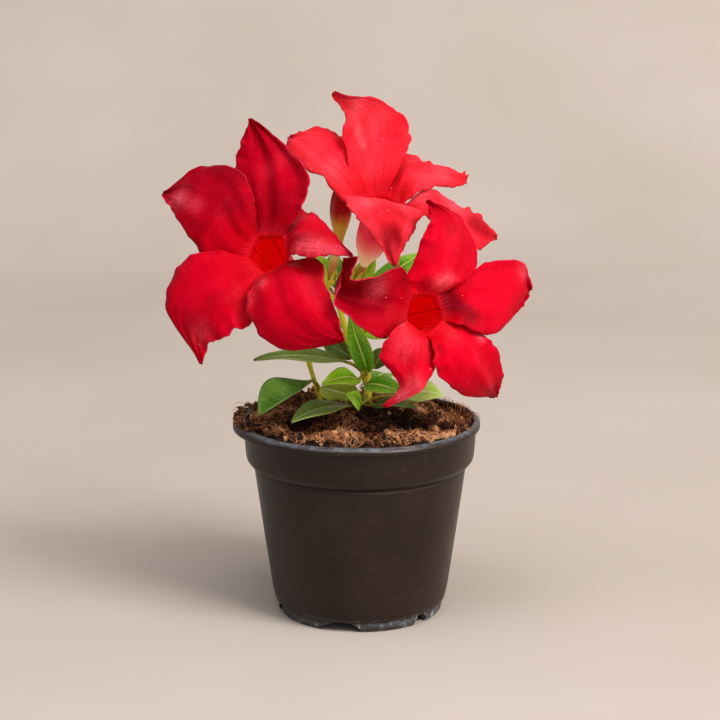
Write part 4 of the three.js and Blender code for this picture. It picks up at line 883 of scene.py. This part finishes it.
def leaf_material(name, shades, back):
    """Living leaf: waxy above and dull below, with pale veins and a thin pale edge."""
    material, tree = empty_material(name)
    uv = add(tree, "TexCoord").outputs["UV"]
    place = add(tree, "TexCoord").outputs["Object"]
    parts = add(tree, "SeparateXYZ", {"Vector": uv})
    v = parts.outputs["Y"]
    side = add(tree, "MapRange", {"Value": parts.outputs["X"], "To Min": -1, "To Max": 1})
    apart = add(tree, "Math", {0: side}, operation="ABSOLUTE")
    waver = add(tree, "TexNoise", {"Vector": place, "Scale": 160, "Detail": 2})
    count = add(tree, "Math", {0: v, 1: 9.0}, operation="MULTIPLY")
    swept = add(tree, "Math", {0: apart, 1: -1.7, 2: count}, operation="MULTIPLY_ADD")
    bent = add(tree, "Math", {0: waver, 1: 0.5, 2: swept}, operation="MULTIPLY_ADD")
    saw = add(tree, "Math", {0: bent, 1: 0.5}, operation="PINGPONG")
    vein = add(tree, "MapRange", {"Value": saw, "From Min": 0.06, "From Max": 0.0, "To Max": 0.32})
    midrib = add(tree, "MapRange", {"Value": apart, "From Min": 0.105, "From Max": 0.045})
    margin = add(tree, "MapRange", {"Value": apart, "From Min": 0.955, "From Max": 1, "To Max": 0.7})
    lines = vein
    for line in (margin, midrib):
        lines = add(tree, "Math", {0: lines, 1: line}, operation="MAXIMUM")
    cloud = add(tree, "TexNoise", {"Vector": place, "Scale": 70, "Detail": 4})
    # a leaf's cells are finer than a render can show, so they are drawn a millimetre apart
    cells = add(tree, "TexVoronoi", {"Vector": place, "Scale": 900})
    blend = add(tree, "Mix", {"Factor": 0.25, "A": cloud, "B": cells})
    green_stops = [(0.3, shades[0]), (0.48, shades[1]), (0.68, shades[2])]
    colour = add(tree, "ValToRGB", {"Fac": blend}, stops=green_stops)
    thin = add(tree, "MapRange", {"Value": apart, "From Min": 0.35, "From Max": 1, "To Max": 0.5})
    beside = add(tree, "MapRange", {"Value": apart, "From Min": 0.5, "From Max": 0.1, "To Max": 0.5})
    stalk_part = add(tree, "MapRange", {"Value": v, "From Min": 0.02, "From Max": -0.04})
    # a blade is lightest towards its margin and deepest beside the midrib, and its veins are pale
    layers = [(thin, shades[2]), (beside, shades[0]), (lines, shades[3]), (stalk_part, "#BCB04C")]
    for share, shade in layers:
        colour = add(tree, "Mix", {"Factor": share, "A": colour, "B": shade}, data_type="RGBA")
    sunk = add(tree, "Math", {0: lines, 1: 1.0 if back else -1.0}, operation="MULTIPLY")
    grain = add(tree, "Math", {0: cells, 1: 0.25, 2: sunk}, operation="MULTIPLY_ADD")
    relief = add(tree, "Bump", {"Height": grain, "Strength": 0.55, "Distance": 0.0005})
    surface = {"Base Color": colour, "Roughness": 0.62 if back else 0.36, "IOR": 1.45, "Normal": relief}
    skin = add(tree, "BsdfPrincipled", surface)
    through = add(tree, "BsdfTranslucent", {"Color": colour})
    mixed = add(tree, "MixShader", {0: 0.28, 1: skin, 2: through})
    add(tree, "OutputMaterial", {"Surface": mixed})
    return material


LEAF_SHADES = {
    "young": ["#90AC1C", "#ACC42C", "#CCDC50", "#ECF4A0"],
    "fresh": ["#80CC14", "#A0E828", "#CCFF54", "#F8FFA0"],
    "pale": ["#B0E460", "#C4F078", "#DCFC98", "#F8FFC8"],
    "green": ["#50A814", "#6CBC20", "#A0E044", "#F0FF90"],
    "dusky": ["#4A7C20", "#609434", "#88B058", "#A4C47C"],
    "old": ["#4E7028", "#618232", "#7C9C4A", "#A8B870"],
}
LEAF_BACKS = {
    "young": ["#A4B43C", "#B4C450", "#C4D068", "#DCE4A0"],
    "fresh": ["#8CC04C", "#A0D05C", "#B4DC70", "#DCE8A4"],
    "pale": ["#9CC864", "#ACD474", "#BCE088", "#E0ECB0"],
    "green": ["#6A9E3C", "#7EAE48", "#96BE62", "#C4D88C"],
    "dusky": ["#5C8438", "#709848", "#88A860", "#B4C88C"],
    "old": ["#708A48", "#82995A", "#98A96E", "#C0CC94"],
}
leaf_skins = {}
for age, shades in LEAF_SHADES.items():
    above = leaf_material(age + "_leaf", shades, False)
    leaf_skins[age] = (above, leaf_material(age + "_leaf_back", LEAF_BACKS[age], True))
for index, (name, joint, base, tip, wide, bow, looks, fold, age) in enumerate(LEAVES):
    joint, base, tip = Vector(joint), Vector(base), Vector(tip)
    length = tip - base
    side = Vector(looks).cross(length).normalized()
    up = length.cross(side).normalized()
    fullness = FULLEST.get(name, FULLNESS)
    blade = []
    for r in range(LEAF_ROWS + 1):
        s = r / LEAF_ROWS
        half = wide * math.sin(math.pi * min(s, 0.999) ** fullness) ** 0.8 * (1 - 0.25 * s)
        half += 0.45 * (1 - s) + 0.08
        row = []
        for c in range(LEAF_COLUMNS + 1):
            w = 2 * c / LEAF_COLUMNS - 1
            folded = abs(w) * half * math.tan(math.radians(fold))
            rounded = LEAF_ROUNDING * half * math.sin(math.pi * abs(w))
            wavy = LEAF_WAVE * abs(w) ** 2 * math.sin(9 * s + 2.3 * index + 1.2 * w)
            drooping = LEAF_DROOP * max(0, s - 0.7) ** 2 * wide / 4
            point = base + length * s + side * (w * half)
            point += up * (bow * 4 * s * (1 - s) + (folded + rounded + wavy - drooping))
            point += side * LEAF_SWAY * math.sin(5 * s + index)
            row.append((point, ((w + 1) / 2, s)))
        blade.append(row)
    leaf = sheet("leaf_blade_" + name, [blade])
    for skin in leaf_skins[age]:
        leaf.data.materials.append(skin)
    thicken(leaf, LEAF, 0)
    middle = joint.lerp(base, 0.6) + up * 0.8
    start = base + length * 0.05 + up * (bow * 0.19 - 0.3)
    end = base + length * 0.2 + up * (bow * 0.64 - 0.45)
    runs = stalk([joint, middle, start, end], STALK_RADII, sides=10, steps=7)
    petiole = sheet("petiole", [[[(point, STALK_UV) for point, uv in row] for row in runs]])
    petiole.data.materials.append(leaf_skins[age][0])
    bpy.ops.object.select_all(action="DESELECT")
    petiole.select_set(True)
    leaf.select_set(True)
    bpy.context.view_layer.objects.active = leaf
    bpy.ops.object.join()
    leaf.data.shade_smooth()
    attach(leaf, "root")
    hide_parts("leaf_" + name)

# ---- the soil -----------------------------------------------------------------------------------
# Coconut coir and peat, poured in loose: dark crumbs and thousands of short curved fibres, heaped round
# the shoots and spilled over the lip at the left.
SOIL_HEIGHT = 83
SOIL_RADIUS = 47.6
SOIL_SIDES = 180
SOIL_RINGS = 60
SOIL_FOOT = [(0.01, 60), (38, 60), (43.2, 60), (44, 66), (46.6, 69), (47.7, 80)]  # radius and height
SOIL_LUMPS = [(3.2, 0.11), (2.6, 0.27), (0.9, 0.8)]  # height, and how many to a millimetre
MOUNDS = [
    (0, 0, 26, 6), (-20, 36, 18, 2.5), (38, 22, 20, -4.5), (-44, -6, 8, 1.5), (-9, -38, 8, 2.5),
    (12, -38, 4, 1.5), (4, -31, 5, -4), (19, -14, 9, -4.5), (-24, -24, 8, -2),
]  # x, y, reach and rise of each heap and hollow
# where more light fibre lies, and where painted shade darkens the soil in its hollows: x, y, reach and
# strength
PILES = [(-9, -38, 9, 1), (12, -38, 3.5, 1), (39, -29, 5, 1), (-44, -4, 8, 0.6), (28, -33, 6, 0.6)]
PAINTED_SHADE_HOLLOWS = [(4, -31, 5, 1), (19, -12, 10, 1), (-20, -18, 9, 0.6), (14, -24, 6, 0.8)]


def strength_at(places, x, y):
    total = 0
    for px, py, reach, share in places:
        total += share * math.exp(-((x - px) ** 2 + (y - py) ** 2) / reach**2)
    return total


def soil_height(x, y):
    rough = sum(tall * noise.noise(Vector((x, y, 0)) * fine) for tall, fine in SOIL_LUMPS)
    return SOIL_HEIGHT + strength_at(MOUNDS, x, y) + rough


def soil_ring(radius, height):
    row = []
    for i in range(SOIL_SIDES + 1):
        turn = 2 * math.pi * i / SOIL_SIDES
        x, y = radius * math.cos(turn), radius * math.sin(turn)
        row.append((Vector((x, y, height(x, y))), (x / 50, y / 50)))
    return row


grid = [soil_ring(radius, lambda x, y, tall=tall: tall) for radius, tall in SOIL_FOOT]
for k in range(SOIL_RINGS + 1):
    radius = SOIL_RADIUS * (1 - k / SOIL_RINGS) ** 0.85
    sunk = 1.2 * (radius / SOIL_RADIUS) ** 12
    grid.append(soil_ring(radius, lambda x, y, sunk=sunk: soil_height(x, y) - sunk))
heap = sheet("coir_heap", [grid])
heap.data.shade_smooth()

CRUMBS = 2400
SPILLED_CRUMBS = 80
SPILLED_CRUMB = 1.3
CRUMB_EDGE = 47.0
LIP_TOP = 83.6
SPILL_LEFT = (152, 208)
SPILL_RIGHT = (-20, 45)  # the stretches of the lip that soil was spilled over, in degrees
rng = random.Random(11)
ball = bmesh.new()  # one crumb, which each of them stretches and dents in its own way
bmesh.ops.create_uvsphere(ball, u_segments=7, v_segments=5, radius=1)
ball_points = [v.co.copy() for v in ball.verts]
ball_faces = [[v.index for v in f.verts] for f in ball.faces]
ball.free()


def spot_on_soil(edge):
    while True:
        x, y = rng.uniform(-edge, edge), rng.uniform(-edge, edge)
        if math.hypot(x, y) < edge:
            return x, y


def spot_on_lip(inner, outer, arc):
    turn = math.radians(rng.uniform(*arc))
    reach = rng.uniform(inner, outer)
    return reach * math.cos(turn) - LIP_SHIFT, reach * math.sin(turn)


crumb_points, crumb_faces, crumb_marks = [], [], []
for k in range(CRUMBS):
    size = 0.4 + 1.5 * rng.random() ** 3
    if k < SPILLED_CRUMBS:
        x, y = spot_on_lip(48.5, 52.3, SPILL_LEFT)
        size = min(size, SPILLED_CRUMB)
        tall = LIP_TOP + 0.4 * size
    else:
        x, y = spot_on_soil(CRUMB_EDGE)
        tall = soil_height(x, y) + size * rng.uniform(-0.4, 0.5)
    pivot = Vector((rng.gauss(0, 1), rng.gauss(0, 1), rng.gauss(0, 1) + 0.1)).normalized()
    turn = Matrix.Rotation(rng.uniform(0, 6.3), 3, pivot)
    stretch = Vector((1, rng.uniform(0.5, 0.9), rng.uniform(0.4, 0.8))) * size
    seed = Vector((k * 3.1, k * 1.7, 0))
    start = len(crumb_points)
    for p in ball_points:
        lump = p * stretch * (1 + 0.6 * noise.noise(p * 1.3 + seed))
        crumb_points.append(mm(*(Vector((x, y, tall)) + turn @ lump)))
    crumb_faces += [[start + i for i in f] for f in ball_faces]
    # crumbs in the hollows are darkened with painted shade
    mark = rng.random() ** 1.6 + 0.42 * strength_at(PILES, x, y) - 0.6 * strength_at(PAINTED_SHADE_HOLLOWS, x, y)
    if k < SPILLED_CRUMBS:
        mark = 0.32 + 0.4 * mark
    crumb_marks += [mark] * len(ball_faces)

# The first fibres lie on the lip at the left, the next on it at the right, some on the piles, and the rest
# anywhere.
FIBRES = 6000
LEFT_SPILLED, SPILLED, PILED = 130, 230, 700
FIBRE_STEPS = 5
FIBRE_EDGE = 46.5
FIBRE_REACH = 46.8
fibre_points, fibre_faces, fibre_marks = [], [], []
for k in range(FIBRES):
    length = 2.2 + 9.5 * rng.random() ** 2.4
    spilled = k < SPILLED
    if k < LEFT_SPILLED:
        x, y = spot_on_lip(47, 51.5, SPILL_LEFT)
        length *= 0.5
    elif spilled:
        x, y = spot_on_lip(FIBRE_EDGE, 50, SPILL_RIGHT)
        length *= 0.6
    elif k < PILED:
        px, py, reach, share = PILES[k % len(PILES)]
        x, y = px + rng.gauss(0, 0.6 * reach), py + rng.gauss(0, 0.5 * reach)
        length *= 0.7
    else:
        x, y = spot_on_soil(FIBRE_EDGE)
    inside = 1 if spilled else min(1, FIBRE_EDGE / max(1e-6, math.hypot(x, y)))
    x, y = x * inside, y * inside
    thick = rng.uniform(0.06, 0.14)
    heading = rng.uniform(0, 2 * math.pi)
    bend = rng.gauss(0, 0.42)
    lift = rng.uniform(0.1, 1.6)
    mark = 0.45 * rng.random() + 0.5 * (0.45 + noise.noise(Vector((x, y, 5)) * 0.09))
    # fibres in the hollows are darkened with painted shade
    mark += 0.5 * strength_at(PILES, x, y) - 0.75 * strength_at(PAINTED_SHADE_HOLLOWS, x, y)
    centres = []
    for step in range(FIBRE_STEPS + 1):
        inside = 1 if spilled else min(1, FIBRE_REACH / max(1e-6, math.hypot(x, y)))
        x, y = x * inside, y * inside
        on_lip = spilled and math.hypot(x, y) > FIBRE_EDGE
        ground = LIP_TOP + 0.1 if on_lip else soil_height(x, y)
        arch = lift * math.sin(math.pi * step / FIBRE_STEPS) + rng.uniform(-0.2, 0.4)
        centres.append(Vector((x, y, ground + 0.25 + arch)))
        x += length / FIBRE_STEPS * math.cos(heading)
        y += length / FIBRE_STEPS * math.sin(heading)
        heading += bend
    start = len(fibre_points)
    for step, centre in enumerate(centres):
        ahead = (centres[min(step + 1, FIBRE_STEPS)] - centres[max(step - 1, 0)]).normalized()
        out = ahead.cross(Vector((0.1, 0.2, 1))).normalized()
        over = ahead.cross(out)
        taper = thick * (1 - 0.75 * abs(2 * step / FIBRE_STEPS - 1) ** 3)
        for i in range(3):
            turn = 2 * math.pi * i / 3
            fibre_points.append(mm(*(centre + (out * math.cos(turn) + over * math.sin(turn)) * taper)))
    for step in range(FIBRE_STEPS):
        low = start + 3 * step
        for i in range(3):
            j = (i + 1) % 3
            fibre_faces.append([low + i, low + j, low + 3 + j, low + 3 + i])
    last = start + 3 * FIBRE_STEPS
    fibre_faces += [[start + 2, start + 1, start], [last, last + 1, last + 2]]
    fibre_marks += [mark] * (3 * FIBRE_STEPS + 2)


def scattered(name, points, faces, marks):
    """Many small bits as one mesh. Each bit carries its own number in its UV map, for its shade."""
    mesh = bpy.data.meshes.new(name)
    mesh.from_pydata(points, [], faces)
    layer = mesh.uv_layers.new(name="surface")
    for polygon, mark in zip(mesh.polygons, marks):
        for i in polygon.loop_indices:
            layer.data[i].uv = (min(1, max(0, mark)), 0.5)
    made = bpy.data.objects.new(name, mesh)
    bpy.context.scene.collection.objects.link(made)
    made.data.shade_smooth()
    return made


crumbs = scattered("coir_crumbs", crumb_points, crumb_faces, crumb_marks)
fibres = scattered("coir_fibres", fibre_points, fibre_faces, fibre_marks)


def coir_material(name, stops, by_mark, grain, relief_strength):
    """Dry coir: matt plant matter, tan where the fibre shows and darkest in the hollows of its bumps, partly
    peat brown and partly painted shade.
    """
    material, tree = empty_material(name)
    place = add(tree, "TexCoord").outputs["Object"]
    mark = add(tree, "SeparateXYZ", {"Vector": add(tree, "TexCoord").outputs["UV"]})
    lumps = add(tree, "TexNoise", {"Vector": place, "Scale": grain, "Detail": 7, "Roughness": 0.7})
    shade = add(tree, "Mix", {"Factor": by_mark, "A": lumps, "B": mark})
    brown = add(tree, "ValToRGB", {"Fac": shade}, stops=stops)
    relief = add(tree, "Bump", {"Height": lumps, "Strength": relief_strength, "Distance": 0.0012})
    dirt = add(tree, "BsdfPrincipled", {"Base Color": brown, "Roughness": 0.9, "Normal": relief})
    add(tree, "OutputMaterial", {"Surface": dirt})
    return material


# Coir and peat, in lumps of about two millimetres: the peat below, seen between the crumbs, is the darkest,
# partly painted shade of those gaps, then the crumbs, and the dry fibre is tan.
PEAT_STOPS = [(0.38, "#0A0502"), (0.5, "#2A170B"), (0.6, "#5A361C"), (0.72, "#94683E")]
CHIP_STOPS = [(0.1, "#120905"), (0.33, "#3C2212"), (0.56, "#744A2C"), (0.8, "#C8986C")]
FIBRE_STOPS = [(0.12, "#26120A"), (0.32, "#704026"), (0.52, "#B87A4C"), (0.76, "#E8BC94")]
peat = coir_material("peat_with_painted_shade", PEAT_STOPS, 0.0, 420, 1.0)
chips = coir_material("coir_chips", CHIP_STOPS, 0.75, 500, 0.8)
strands = coir_material("coir_fibre", FIBRE_STOPS, 0.8, 700, 0.4)

for piece, finish in ((heap, peat), (crumbs, chips), (fibres, strands)):
    piece.data.materials.append(finish)
    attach(piece, "root")
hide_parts("soil")

# ---- the studio ---------------------------------------------------------------------------------
# A pale painted sweep, one large soft light from the upper right, weaker ones from the front, the right
# and above, and a bright room all round.
bpy.ops.mesh.primitive_plane_add(size=4, location=(0, -0.6, 0))
floor = bpy.context.object
floor.name = "studio_floor"
bpy.ops.object.mode_set(mode="EDIT")
bpy.ops.mesh.select_all(action="DESELECT")
bpy.ops.object.mode_set(mode="OBJECT")
for edge in floor.data.edges:
    ends = [floor.data.vertices[i].co.y for i in edge.vertices]
    edge.select = min(ends) > 1.3
bpy.ops.object.mode_set(mode="EDIT")
bpy.ops.mesh.select_mode(type="EDGE")
bpy.ops.mesh.extrude_edges_move(TRANSFORM_OT_translate={"value": (0, 0, 3)})
bpy.ops.mesh.select_all(action="SELECT")
bpy.ops.object.mode_set(mode="OBJECT")
curve = floor.modifiers.new("sweep", "BEVEL")
curve.width = 0.7
curve.segments = 16
bpy.ops.object.modifier_apply(modifier="sweep")
bpy.ops.object.transform_apply(location=True, rotation=True, scale=True)
floor.data.shade_smooth()
paint, tree = empty_material("matt_studio_paint")
place = add(tree, "TexCoord").outputs["Object"]
rolled = add(tree, "TexNoise", {"Vector": place, "Scale": 3, "Detail": 3})
pale = add(tree, "ValToRGB", {"Fac": rolled}, stops=[(0.3, "#A49C95"), (0.7, "#B0A8A3")])
coat = add(tree, "BsdfPrincipled", {"Base Color": pale, "Roughness": 0.85})
add(tree, "OutputMaterial", {"Surface": coat})
floor.data.materials.append(paint)


def softbox(name, place, target, wide, power, tint):
    lamp = bpy.data.lights.new(name, "AREA")
    lamp.shape = "SQUARE"
    lamp.size = wide
    lamp.energy = power
    lamp.color = linear(tint)[:3]
    made = bpy.data.objects.new(name, lamp)
    made.location = place
    made.rotation_euler = (Vector(target) - Vector(place)).to_track_quat("-Z", "Y").to_euler()
    bpy.context.scene.collection.objects.link(made)


softbox("key_light", (1.9, -1.7, 2.5), (0, 0, 0.12), 1.4, 118, "#FFF8F0")
softbox("fill_light", (1.1, -2.3, 0.8), (0, 0, 0.1), 1.5, 12, "#FFF8F0")
softbox("side_light", (2.3, -0.5, 0.7), (0, 0, 0.05), 1.2, 9, "#FFF0E2")
softbox("top_light", (-0.4, -0.9, 2.6), (0, 0, 0.1), 1.2, 22, "#FCFAFA")
world = bpy.data.worlds.new("bright_room")
bpy.context.scene.world = world
world.use_nodes = True
walls = world.node_tree.nodes["Background"].inputs
walls["Color"].default_value = linear("#E9E6E4")
walls["Strength"].default_value = 0.6
bpy.context.scene.view_settings.view_transform = "Standard"
bpy.context.scene.view_settings.look = "Medium High Contrast"

# The camera stands 0.8 m in front of the pot's axis and looks down at 12.5 degrees.
lens = bpy.data.cameras.new("camera")
lens.lens = 97
lens.sensor_width = 36
camera = bpy.data.objects.new("camera", lens)
camera.location = mm(0, -800, 286)
camera.rotation_euler = (math.radians(90 - 12.5), 0, 0)
bpy.context.scene.collection.objects.link(camera)
bpy.context.scene.camera = camera
